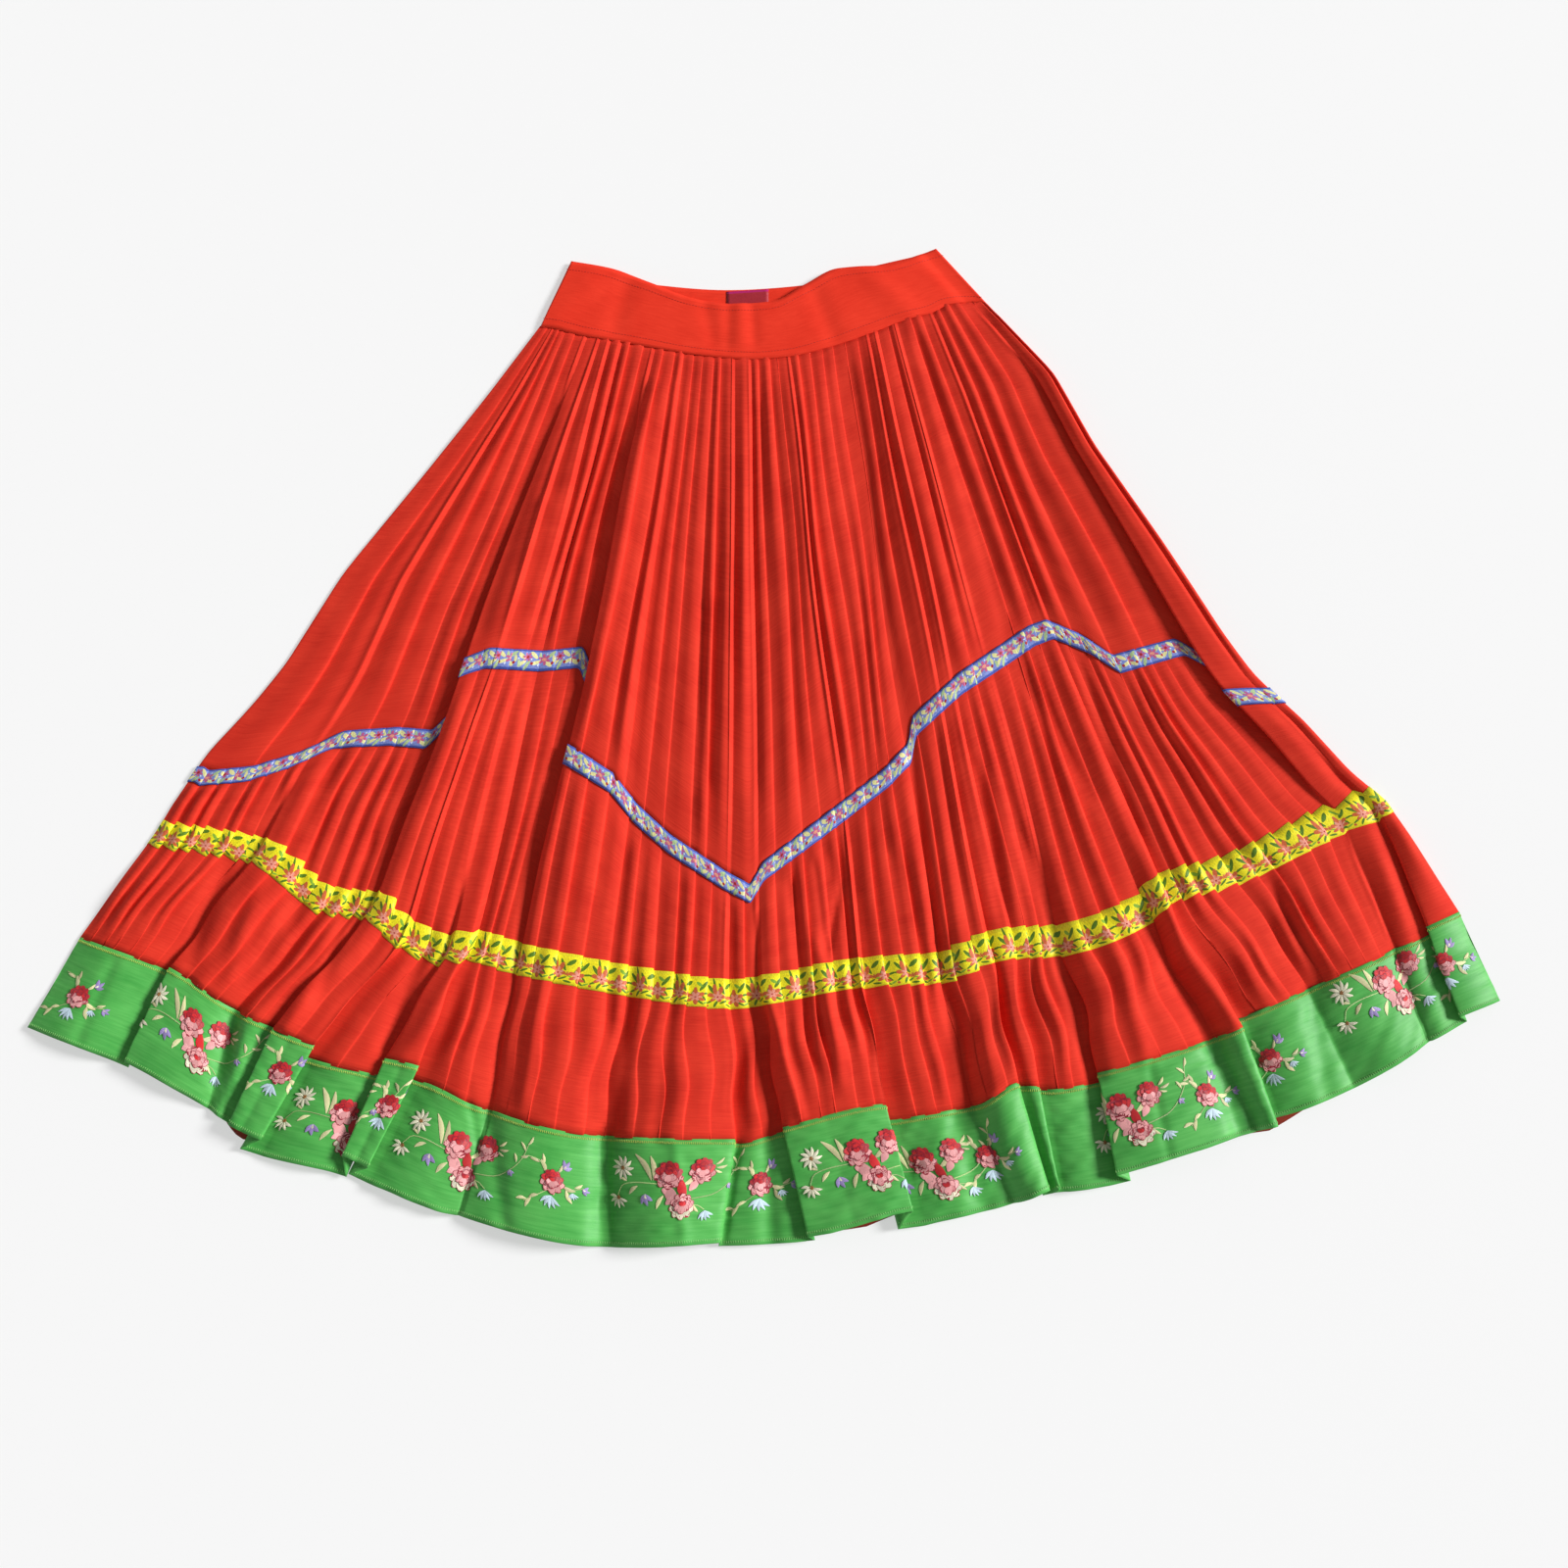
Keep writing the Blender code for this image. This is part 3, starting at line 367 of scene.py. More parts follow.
class Columns:
    """Columns of points across the front, with the pleats and the main folds between them."""

    def __init__(self, counts, pleats, unevenness):
        rows = [(0.0, 0, 0.0, -push, sink, -1, 0, 0.5, 0) for push, sink in SIDE_TURN]
        last = len(NAMES) - 1
        for panel in range(last):
            edges = np.linspace(ACROSS[panel], ACROSS[panel + 1], int(counts[panel]) + 1)
            edges[1:-1] += rng.uniform(-1, 1, len(edges) - 2) * unevenness * (edges[1] - edges[0])
            starts = FOLD["side"][panel] != 0
            ends = FOLD["side"][panel + 1] != 0
            for low, high in zip(edges[:-1], edges[1:]):
                strong = 1 + rng.uniform(WEAKEST, STRONGEST)
                rolled = rng.uniform(0, 1) ** ROLLED_SELDOM
                profile = np.array(pleats[0]) * (1 - rolled) + np.array(pleats[-1]) * rolled
                for part, rise, push in profile:
                    at_start = part == 0 and low == edges[0] and starts
                    at_end = part > EDGE_FROM and high == edges[-1] and ends
                    if not (at_start or at_end):
                        bend = part + PLEAT_BEND * (strong - 1) * math.sin(math.pi * part)
                        rows.append((low + bend * (high - low), panel, rise * strong, push, 0.0, -1, 0,
                                     part, high - low))
            if panel + 1 < last and ends:
                fold, at = panel + 1, edges[-1]
                last_wide = edges[-1] - edges[-2]
                next_wide = (ACROSS[fold + 1] - at) / counts[fold]
                rows += [(at, panel, 1.0, 0, 0, fold, hand, 1, last_wide) for hand in (-1, -TURN)]
                rows += [(at, fold, 0.0, 0, 0, fold, hand, 0, next_wide) for hand in (TURN, 1)]
        rows += [(1.0, last - 1, 0.0, push, sink, -1, 0, 0.5, 0) for push, sink in SIDE_TURN[::-1]]
        table = np.array(rows)
        self.across, self.raised, self.push, self.sink = table[:, 0], table[:, 2], table[:, 3], table[:, 4]
        self.hand, self.part, self.wide = table[:, 6], table[:, 7], table[:, 8]
        self.panel, self.fold = table[:, 1].astype(int), table[:, 5].astype(int)
        self.turned = np.flatnonzero(self.hand == -TURN)

    def points(self, depth, relief, square=0.0):
        """The row of points at a depth, with the pleats' relief in mm and how squarely the row
        crosses each strip."""
        across = self.across
        sideways, downwards, unit = directions(across, depth)
        left, right = self.panel, self.panel + 1
        along = (across - ACROSS[left]) / (ACROSS[right] - ACROSS[left])
        hem_left, hem_right = (hem_drop(fold, depth) for fold in (left, right))
        from_left = np.where(FOLD["side"][left] > 0, hem_left, 0) * (1 - along ** 2)
        from_right = np.where(FOLD["side"][right] < 0, hem_right, 0) * (1 - (1 - along) ** 2)
        height = np.maximum(from_left, from_right) + blue_rise(across, self.panel, depth)
        crown = CROWN_SHARE * FOLD["crown"][left] * np.sin(np.pi * along)
        height += crown * ease(CROWN_FROM, BAND_SEAM, depth)
        height += SWELL_BY * SOFT_SWELL(across, depth) * ease(*SWELL_OPENS, depth) + SWELL_BY / 2
        open_left = np.where(FOLD["side"][left] < 0, hem_left + blue_drop(left, depth), 0)
        open_right = np.where(FOLD["side"][right] > 0, hem_right + blue_drop(right, depth), 0)
        level_left = ease(0, FLAT_FROM, open_left) * ease(1 - LEVEL_UNDER, 1, 1 - along)
        level_right = ease(0, FLAT_FROM, open_right) * ease(1 - LEVEL_UNDER, 1, along)
        uneven = 1 + FADE_BY * PLEATS_FADE(across, depth)
        height += self.raised * relief * uneven * (1 - level_left) * (1 - level_right)

        side = FOLD["side"][self.fold]
        is_fold = self.fold >= 0
        under = is_fold & (side * self.hand < 0)
        blue, hem = FOLD["lap_blue"][self.fold], FOLD["lap_hem"][self.fold]
        near_blue = ease(*LAP_OPENS, depth) * (1 - ease(*LAP_CLOSES, depth))
        lap = np.where(is_fold, blue * near_blue + hem * ease(*HEM_LAP_OPENS, depth), 0)
        room = np.minimum(width_at(self.fold - 1, depth), width_at(self.fold, depth))
        run = np.where(is_fold, np.minimum(FOLD_RUN, RUN_SHARE * room), 0)
        shift = self.hand * run - np.where(under, self.hand * lap, 0) + self.push
        free = ease(*SWAY_OPENS, depth) * (1 - ease(*SWAY_CLOSES, depth)) * (self.sink == 0)
        free *= ease(0, SIDE_HELD, across) * (1 - ease(1 - SIDE_HELD, 1, across))
        shift += SWAY_BY * PLEATS_SWAY(across, depth) * free
        lower_left = np.where(FOLD["side"][left] < 0, FOLD["step"][left], 0) * (1 - along)
        lower_right = np.where(FOLD["side"][right] > 0, FOLD["step"][right], 0) * along
        step = (lower_left + lower_right) * ease(STEP_FROM, BAND_SEAM, depth)
        slant = (sideways * downwards).sum(axis=1) * (0.5 - self.part) * self.wide * unit
        down = (step + square * slant)[:, None]
        place = plan(across, depth) + sideways * shift[:, None] + downwards * down
        base = FRONT_MID + FRONT_SWELL * np.sin(np.pi * across)
        points = np.column_stack([place, base + height - self.sink])
        left_end, right_end = points[self.turned - 1], points[self.turned + 2]
        apart = TURN * np.maximum(0, 1 - lap[self.turned] / (2 * FOLD_RUN))[:, None]
        for column, near, far in ((self.turned, left_end, right_end),
                                  (self.turned + 1, right_end, left_end)):
            points[column, :2] = (near + (far - near) * apart)[:, :2]
            points[column, 2] = (near + (far - near) * TURN)[:, 2]
        return points


ZIGZAG_FROM, ZIGZAG_TO, ZIGZAG_LEVELS = 0.3, 0.999, 90


def zigzag_depth(columns):
    """Depth at which each column crosses the blue ribbon's centre line."""
    levels = np.linspace(ZIGZAG_FROM, ZIGZAG_TO, ZIGZAG_LEVELS)
    count = len(columns.across)
    paths = np.stack([columns.points(np.full(count, d), 0.0)[:, :2] for d in levels])
    found = np.zeros(count)
    for (start, end), line in ZIGZAG.items():
        xs, ys = np.array(line, float).T
        mine = (columns.panel >= NAMES.index(start)) & (columns.panel < NAMES.index(end))
        for i in np.flatnonzero(mine):
            height = paths[:, i, 1] - np.interp(paths[:, i, 0], xs, ys)
            low = np.clip((height > 0).sum(), 1, len(levels) - 1)
            part = height[low - 1] / (height[low - 1] - height[low])
            found[i] = levels[low - 1] + part * (levels[low] - levels[low - 1])
    return found


def rounded(grid):
    """A grid with twice the rows and columns, its corners rounded and its four edges kept."""
    for axis in (0, 1):
        lines = np.swapaxes(grid, 0, axis)
        finer = np.empty((2 * len(lines) - 1,) + lines.shape[1:])
        finer[0::2], finer[1::2] = lines, (lines[:-1] + lines[1:]) / 2
        finer[2:-2:2] = (lines[:-2] + 6 * lines[1:-1] + lines[2:]) / 8
        grid = np.swapaxes(finer, 0, axis)
    return grid


def outward(grid):
    """Unit vectors out of the cloth at every point of a grid."""
    normal = np.cross(np.gradient(grid, axis=0), np.gradient(grid, axis=1))
    return normal / np.maximum(np.linalg.norm(normal, axis=2), TINY)[..., None]


def lengths(grid):
    """Distances along the cloth in mm, across each row and down each column."""
    across = np.linalg.norm(np.diff(grid, axis=1), axis=2).cumsum(axis=1)
    down = np.linalg.norm(np.diff(grid, axis=0), axis=2).cumsum(axis=0)
    return np.pad(across, ((0, 0), (1, 0))), np.pad(down, ((1, 0), (0, 0)))


def shell(name, grid, materials, wall=CLOTH_WALL, across=None, down=None, inner_slot=0):
    """A closed thin cloth over a grid of points in mm, with its cloth coordinates in metres."""
    rows, columns = grid.shape[:2]
    if across is None:
        along, deep = lengths(grid)
        across = np.tile(along.mean(axis=0), (rows, 1))
        down = np.tile(deep.mean(axis=1)[:, None], (1, columns))
    inner = grid - outward(grid) * wall
    index = np.arange(rows * columns).reshape(rows, columns)
    quads = np.stack([index[:-1, :-1], index[1:, :-1], index[1:, 1:], index[:-1, 1:]], -1).reshape(-1, 4)
    under = quads[:, ::-1] + rows * columns
    rim = np.concatenate([index[:, 0], index[-1, 1:], index[-2::-1, -1], index[0, -2::-1]])
    sides = np.stack([rim[:-1], rim[:-1] + rows * columns, rim[1:] + rows * columns, rim[1:]], -1)
    faces = np.concatenate([quads, under, sides])
    points = (np.concatenate([grid.reshape(-1, 3), inner.reshape(-1, 3)]) + SETTLE) * MM
    mesh = bpy.data.meshes.new(name)
    mesh.from_pydata(points.tolist(), [], faces.tolist())
    for material in materials:
        mesh.materials.append(material)
    slots = np.zeros(len(faces), int)
    slots[len(quads):2 * len(quads)] = inner_slot
    mesh.polygons.foreach_set("material_index", slots)
    flat = np.tile(np.stack([across.ravel(), down.ravel()], -1), (2, 1)) * MM
    places = flat[faces.ravel()].ravel().astype(np.float32)
    mesh.uv_layers.new(name="cloth").uv.foreach_set("vector", places)
    mesh.shade_smooth()
    return placed(name, mesh)


def declare(obj, node, grid):
    """Hangs a cloth on the root in its node's place, and hides the node's own mesh."""
    along, deep = lengths(grid)
    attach(obj, "root")
    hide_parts(node)


def node_adder(tree):
    """A short way to add a node to a tree, with its settings and the nodes or outputs that it takes
    in. These go by the name of the input, or by i and its number."""
    def node(kind, settings=None, **links):
        new = tree.nodes.new(kind)
        for key, value in (settings or {}).items():
            if isinstance(value, str) or isinstance(value, bool):
                setattr(new, key, value)
            else:
                new.inputs[key].default_value = value
        for key, source in links.items():
            numbered = key[0] == "i" and key[1:].isdigit()
            output = source.outputs[0] if isinstance(source, bpy.types.Node) else source
            tree.links.new(output, new.inputs[int(key[1:]) if numbered else key])
        return new
    return node


class Look:
    """A new material whose colour and small relief come from nodes."""

    def __init__(self, name, rough, gloss):
        self.material = bpy.data.materials.new(name)
        self.material.use_nodes = True
        self.tree = self.material.node_tree
        self.inputs = self.tree.nodes["Principled BSDF"].inputs
        self.inputs["Roughness"].default_value = rough
        self.inputs["Specular IOR Level"].default_value = gloss
        self.node = node_adder(self.tree)

    def shaded(self, colour, bright):
        """A colour made darker and lighter by a brightness."""
        grey = self.node("ShaderNodeCombineXYZ", i0=bright, i1=bright, i2=bright)
        return self.node("ShaderNodeMix", {"data_type": "RGBA", "blend_type": "MULTIPLY", 0: 1.0},
                         i6=colour, i7=grey).outputs[2]

    def finish(self, colour, height, strength, distance):
        """The material, with its colour and the small relief of a height."""
        self.tree.links.new(colour, self.inputs["Base Color"])
        bump = self.node("ShaderNodeBump", {"Strength": strength, "Distance": distance}, Height=height)
        self.tree.links.new(bump.outputs[0], self.inputs["Normal"])
        return self.material


FINE_THREADS, FINE_SHARE, MOTTLE, SLUB_BUMP = 1600.0, 0.15, 30.0, 0.0006
SLUB_DETAIL, SLUB_ROUGH, DARK_BELOW, LIGHT_ABOVE = 3.0, 0.6, 0.6, 1.4


def woven(name, dark, light, rough, slub, slub_depth=0.35, gloss=0.12, edge=None):
    """Woven cloth: a fine weave, threads that thicken here and there, and an uneven colour. An
    edge is the depth in mm and the colour of a strip along the cloth's top."""
    look = Look(name, rough, gloss)
    node = look.node
    cloth = node("ShaderNodeTexCoord").outputs["UV"]
    threads = node("ShaderNodeMapping", {"Scale": slub}, Vector=cloth)
    slubs = node("ShaderNodeTexNoise", {"Scale": 1.0, "Detail": SLUB_DETAIL, "Roughness": SLUB_ROUGH},
                 Vector=threads)
    patches = node("ShaderNodeTexNoise", {"Scale": MOTTLE, "Detail": 2.0}, Vector=cloth)
    both = node("ShaderNodeMath", {"operation": "ADD"}, i0=slubs, i1=patches)
    ramp = node("ShaderNodeMapRange", {1: DARK_BELOW, 2: LIGHT_ABOVE}, i0=both)
    colour = node("ShaderNodeMix", {"data_type": "RGBA", 6: (*dark, 1), 7: (*light, 1)},
                  i0=ramp).outputs[2]
    if edge:
        deep = node("ShaderNodeSeparateXYZ", i0=cloth).outputs[1]
        at_edge = node("ShaderNodeMath", {"operation": "LESS_THAN", 1: edge[0] * MM}, i0=deep)
        colour = node("ShaderNodeMix", {"data_type": "RGBA", 7: (*edge[1], 1)}, i0=at_edge,
                      i6=colour).outputs[2]
    fine = node("ShaderNodeTexNoise", {"Scale": FINE_THREADS, "Detail": 1.0}, Vector=cloth)
    height = node("ShaderNodeMath", {"operation": "MULTIPLY_ADD", 1: FINE_SHARE}, i0=fine,
                  i2=slubs)
    return look.finish(colour, height, slub_depth, SLUB_BUMP)


def at_seams(parts, table):
    """Values at the parts of the way down, smoothly through a short table of (part, value)."""
    knots, values = np.array(table, float).T
    return smooth_through(knots, values, parts)


RED_CLOTH = woven("red_cotton", (0.545, 0.021, 0.011), (0.74, 0.043, 0.021), 0.8, (45, 700, 1))
UPPER_RELIEF = ((0.0, 1.2), (0.06, 2.2), (0.3, 3.6), (0.6, 4.4), (0.88, 3.6), (0.97, 1.5), (1.0, 1.0))
UPPER_ROWS, TUCKS_UNEVEN, SEAM_UNDER_RIBBON = 27, 0.2, 3.0
UPPER_PARTS = np.linspace(0, 1, UPPER_ROWS)
upper = Columns(FOLD["tucks"], (PLEAT, ROLLED), TUCKS_UNEVEN)
seam_depth = deeper(upper.across, zigzag_depth(upper), SEAM_UNDER_RIBBON - BLUE_RIBBON / 2)
upper_rows = [upper.points(seam_depth * part, relief)
              for part, relief in zip(UPPER_PARTS, at_seams(UPPER_PARTS, UPPER_RELIEF))]
upper_grid = creased(rounded(np.array(upper_rows)))
declare(shell("upper_panel_front_cloth", upper_grid, [RED_CLOTH]), "upper_panel_front",
        upper_grid)

# Lower tier of the front: the same cotton in finer pleats, sewn to the upper panel along a
# zigzag seam. The pleats open downwards to the band's seam.
TIER_RELIEF = ((0.0, 1.0), (0.05, 1.6), (0.14, 3.4), (0.5, 4.2), (0.8, 3.8), (1.0, 3.6))
BELOW_RELIEF = ((0.0, 3.6), (0.4, 4.0), (0.75, 3.0), (0.94, 1.1), (1.0, 0.7))
RIBBON_RELIEF, YELLOW_RELIEF, YELLOW_PARTS = 0.8, 3.6, (0, 0.33, 0.67, 1)
TIER_ROWS, BELOW_ROWS, PLEATS_UNEVEN = 10, 9, 0.22
tier = Columns(FOLD["pleats"], (PLEAT, ROLLED), PLEATS_UNEVEN)
zigzag = zigzag_depth(tier)
ribbon_top = deeper(tier.across, zigzag, -BLUE_RIBBON / 2)
ribbon_low = deeper(tier.across, zigzag, BLUE_RIBBON / 2)
line = np.full(len(tier.across), YELLOW_LINE)
yellow_top = deeper(tier.across, line, -YELLOW_RIBBON / 2)
yellow_low = deeper(tier.across, line, YELLOW_RIBBON / 2)
tier_rows = [tier.points(depth, RIBBON_RELIEF)
             for depth in (ribbon_top, (ribbon_top + ribbon_low) / 2, ribbon_low)]
for part in np.linspace(0, 1, TIER_ROWS)[1:-1]:
    relief = at_seams(np.array([part]), TIER_RELIEF)[0]
    tier_rows.append(tier.points(ribbon_low + (yellow_top - ribbon_low) * part, relief, part))
yellow_row = len(tier_rows)
tier_rows += [tier.points(yellow_top + (yellow_low - yellow_top) * part, YELLOW_RELIEF, 1.0)
              for part in YELLOW_PARTS]
for part in np.linspace(0, 1, BELOW_ROWS)[1:]:
    relief = at_seams(np.array([part]), BELOW_RELIEF)[0]
    tier_rows.append(tier.points(yellow_low + (BAND_SEAM - yellow_low) * part, relief, 1 - part))
tier_grid = creased(rounded(np.array(tier_rows)))
declare(shell("lower_tier_front_cloth", tier_grid, [RED_CLOTH]), "lower_tier_front",
        tier_grid)

# Two woven ribbons: the yellow one was sewn on before the pleats were pressed, so it steps at
# every edge; four lengths of the blue one cover the zigzag seam.
RIBBON_WALL, YELLOW_LIFT, BLUE_LIFT = 0.35, 0.45, 1.2


def ribbon(name, node_name, rows, lift, material, width):
    """A ribbon that lies on rows of the cloth's points, a lift in mm above them."""
    grid = rows + outward(rows) * lift
    along = lengths(grid)[0]
    middle = np.tile(along[len(along) // 2], (len(grid), 1))
    down = np.tile(np.linspace(-width / 2, width / 2, len(grid))[:, None], (1, grid.shape[1]))
    obj = shell(name, grid, [material], wall=RIBBON_WALL, across=middle, down=down)
    declare(obj, node_name, grid)


RIBBON_ROUGH, RIBBON_GLOSS, BORDER, RIBBON_THREADS = 0.5, 0.3, 1.6, 900.0
LOBE_PAIRS, LOBE_REACH, RIBBON_BUMP = 3.0, 0.65, (0.4, 0.0004)
RIBBON_SHADES = {1: 0.3, 2: 0.7, 3: 0.75, 4: 1.1}


def jacquard(name, ground, edge, width, repeat, motifs):
    """A ribbon woven with a repeated pattern. Each group of motifs has a kind and a colour, and
    for each motif its place, its two half sizes and its turn, in mm and degrees."""
    look = Look(name, RIBBON_ROUGH, RIBBON_GLOSS)
    node = look.node
    parts = node("ShaderNodeSeparateXYZ", i0=node("ShaderNodeTexCoord").outputs["UV"])
    wrapped = node("ShaderNodeMath", {"operation": "FLOORED_MODULO", 1: repeat * MM}, i0=parts)
    place = node("ShaderNodeCombineXYZ", i0=wrapped, i1=parts.outputs[1])
    thread = node("ShaderNodeTexNoise", {"Scale": RIBBON_THREADS, "Detail": 1.0}, Vector=place)
    from_middle = node("ShaderNodeMath", {"operation": "ABSOLUTE"}, i0=parts.outputs[1])
    border = node("ShaderNodeMath", {"operation": "GREATER_THAN", 1: (width / 2 - BORDER) * MM},
                  i0=from_middle)
    colour = node("ShaderNodeMix", {"data_type": "RGBA", 6: (*ground, 1), 7: (*edge, 1)},
                  i0=border).outputs[2]
    single = [(kind, tint, *one) for kind, tint, *group in motifs for one in group]
    for kind, tint, x, y, long, wide, turn in single:
        local = node("ShaderNodeMapping", {"vector_type": "TEXTURE", "Location": (x * MM, y * MM, 0),
                                           "Rotation": (0, 0, math.radians(turn)),
                                           "Scale": (long * MM, wide * MM, 1)}, Vector=place)
        reach = node("ShaderNodeVectorMath", {"operation": "LENGTH"}, i0=local).outputs["Value"]
        if kind == "leaf":
            inside = node("ShaderNodeMath", {"operation": "LESS_THAN", 1: 1.0}, i0=reach)
        else:
            flat = node("ShaderNodeSeparateXYZ", i0=local).outputs
            angle = node("ShaderNodeMath", {"operation": "ARCTAN2"}, i0=flat[1], i1=flat[0])
            lobes = node("ShaderNodeMath", {"operation": "MULTIPLY", 1: LOBE_PAIRS}, i0=angle)
            for step in ("COSINE", "ABSOLUTE"):
                lobes = node("ShaderNodeMath", {"operation": step}, i0=lobes)
            rim = node("ShaderNodeMath", {"operation": "MULTIPLY_ADD", 1: LOBE_REACH, 2: 1 - LOBE_REACH},
                       i0=lobes)
            inside = node("ShaderNodeMath", {"operation": "LESS_THAN"}, i0=reach, i1=rim)
        colour = node("ShaderNodeMix", {"data_type": "RGBA", 7: (*tint, 1)}, i0=inside,
                      i6=colour).outputs[2]
    shade = node("ShaderNodeMapRange", RIBBON_SHADES, i0=thread)
    return look.finish(look.shaded(colour, shade), thread, *RIBBON_BUMP)


LEAF_GREEN, LIGHT_GREEN = (0.10, 0.21, 0.015), (0.25, 0.46, 0.04)
TERRACOTTA, ROSE_PINK, DARK_RED = (0.62, 0.13, 0.04), (0.78, 0.3, 0.22), (0.4, 0.02, 0.02)
CREAM, BLUE_WHITE, DEEP_BLUE = (0.75, 0.72, 0.32), (0.7, 0.75, 0.85), (0.06, 0.1, 0.42)
PALE_GREEN, MAGENTA = (0.42, 0.56, 0.28), (0.5, 0.1, 0.24)
YELLOW_REPEAT, BLUE_REPEAT = 43.0, 36.0
YELLOW_MOTIFS = (
    ("leaf", LEAF_GREEN, (5, -7, 4.8, 1.3, 35), (8, -10, 3.9, 1.1, 65), (3, -3, 4.1, 1.1, 5),
     (4, 5, 4.6, 1.3, -40), (9, 8, 4.4, 1.3, -65), (15, -7, 4.6, 1.3, 50), (16, 6, 4.8, 1.3, -35),
     (21, 10, 3.9, 1.1, 10), (22, -9, 4.4, 1.3, -20), (27, -3, 4.8, 1.3, -55), (34, 8, 4.6, 1.3, 40),
     (38, 3, 4.1, 1.1, 65), (37, -8, 4.8, 1.3, -35), (40, -3, 3.9, 1.1, -10)),
    ("leaf", LIGHT_GREEN, (12, 2, 3.0, 1.0, 80), (24, 4, 3.9, 1.1, 35), (33, -9, 3.2, 1.0, 20),
     (40, 9, 3.2, 1.0, -30)),
    ("flower", TERRACOTTA, (10, -2, 8.6, 8.6, 10)), ("flower", ROSE_PINK, (11, -1, 5.2, 5.2, 35)),
    ("flower", TERRACOTTA, (30, 2, 9.4, 9.4, 25)), ("flower", ROSE_PINK, (30, 1, 6.0, 6.0, 0)),
    ("leaf", DARK_RED, (30, 1, 1.0, 1.0, 0), (11, -1, 0.9, 0.9, 0)),
    ("flower", TERRACOTTA, (20, 0, 3.1, 3.1, 20)), ("leaf", TERRACOTTA, (1, 10, 1.8, 1.3, 20)))
BLUE_MOTIFS = (
    ("leaf", CREAM, (3, -3, 5.0, 1.9, 35), (5, 4, 4.4, 1.7, -35)),
    ("leaf", PALE_GREEN, (2, 4, 3.2, 1.3, 70), (10, 5, 4.2, 1.5, -60)),
    ("leaf", CREAM, (15, -4, 4.8, 1.8, 40), (18, 3, 4.6, 1.7, -20)),
    ("leaf", PALE_GREEN, (21, -3, 3.8, 1.4, 75)), ("leaf", CREAM, (29, 4, 4.5, 1.7, 30)),
    ("leaf", PALE_GREEN, (31, -4, 4.8, 1.8, -40)), ("leaf", CREAM, (34, 0, 3.6, 1.4, 80)),
    ("flower", MAGENTA, (9, -2, 4.6, 4.6, 0)), ("leaf", DARK_RED, (9, -2, 1.4, 1.4, 0)),
    ("flower", MAGENTA, (25, 0, 6.0, 5.4, 20)), ("leaf", ROSE_PINK, (25, 0, 2.2, 1.6, 0)),
    ("leaf", DARK_RED, (14, 4, 1.4, 1.3, 0), (33, 4, 1.4, 1.3, 0)),
    ("leaf", BLUE_WHITE, (13, 0, 0.8, 0.8, 0), (20, 5, 0.8, 0.8, 0), (0.8, 0, 0.8, 0.8, 0),
     (27, -5, 0.8, 0.8, 0)))
YELLOW_WEAVE = jacquard("yellow_ribbon_weave", (0.88, 0.78, 0.015), (0.8, 0.72, 0.02), YELLOW_RIBBON,
                        YELLOW_REPEAT, YELLOW_MOTIFS)
BLUE_WEAVE = jacquard("blue_ribbon_weave", (0.2, 0.26, 0.62), DEEP_BLUE, BLUE_RIBBON,
                      BLUE_REPEAT, BLUE_MOTIFS)
yellow_last = yellow_row + len(YELLOW_PARTS) - 1
ribbon("yellow_ribbon_cloth", "ribbon_yellow", tier_grid[2 * yellow_row:2 * yellow_last + 1], YELLOW_LIFT,
       YELLOW_WEAVE, YELLOW_RIBBON)
BLUE_ROWS = 5
for number, (start, end) in enumerate(ZIGZAG):
    first, last = NAMES.index(start), NAMES.index(end)
    mine = np.flatnonzero((tier.panel >= first) & (tier.panel < last))
    ribbon(f"blue_ribbon_{number + 1}_cloth", f"ribbon_blue_{number + 1}",
           tier_grid[:BLUE_ROWS, 2 * mine[0]:2 * mine[-1] + 1], BLUE_LIFT, BLUE_WEAVE,
           BLUE_RIBBON)

# Hem band: slubby green satin, sewn on flat under the pleats and turned up at the hem. Large
# soft folds cross it, and its raised flaps show a sliver of the red-brown inside.
GREEN_SATIN = woven("green_satin", (0.045, 0.31, 0.05), (0.115, 0.47, 0.10), 0.5, (24, 330, 1),
                    slub_depth=0.45, gloss=0.25)
BAND_STATION, LEAST_STATIONS, TUCKED_UNDER, EDGE_RISE = 6.0, 3, 1.0, 0.5
BAND_PARTS = np.linspace(0, 1, 14)
WRINKLES, WRINKLED_BY = waves(42, 5), 0.9
widths = np.hypot(np.diff(FOLD["hem_x"]), np.diff(FOLD["hem_y"]))
FLAT_STRIP = ((0.0, 0.0, 0.0), (0.5, 0.0, 0.0))
band = Columns(np.maximum(LEAST_STATIONS, np.round(widths / BAND_STATION)), (FLAT_STRIP,), 0.0)
one = np.ones(len(band.across))
band_top = deeper(band.across, one * BAND_SEAM, -TUCKED_UNDER)
band_rows = [band.points(np.minimum(band_top + (HEM - band_top) * part, HEM), 0.0)
             for part in BAND_PARTS]
for part, row in zip(BAND_PARTS, band_rows):
    row[:, 2] += WRINKLED_BY * WRINKLES(band.across, BAND_SEAM + part)
band_rows[0][:, 2] += EDGE_RISE
band_grid = creased(rounded(np.array(band_rows)))
declare(shell("hem_band_front_cloth", band_grid, [GREEN_SATIN]), "hem_band_front",
        band_grid)


TOP_LAYER_FIRST = 0.6


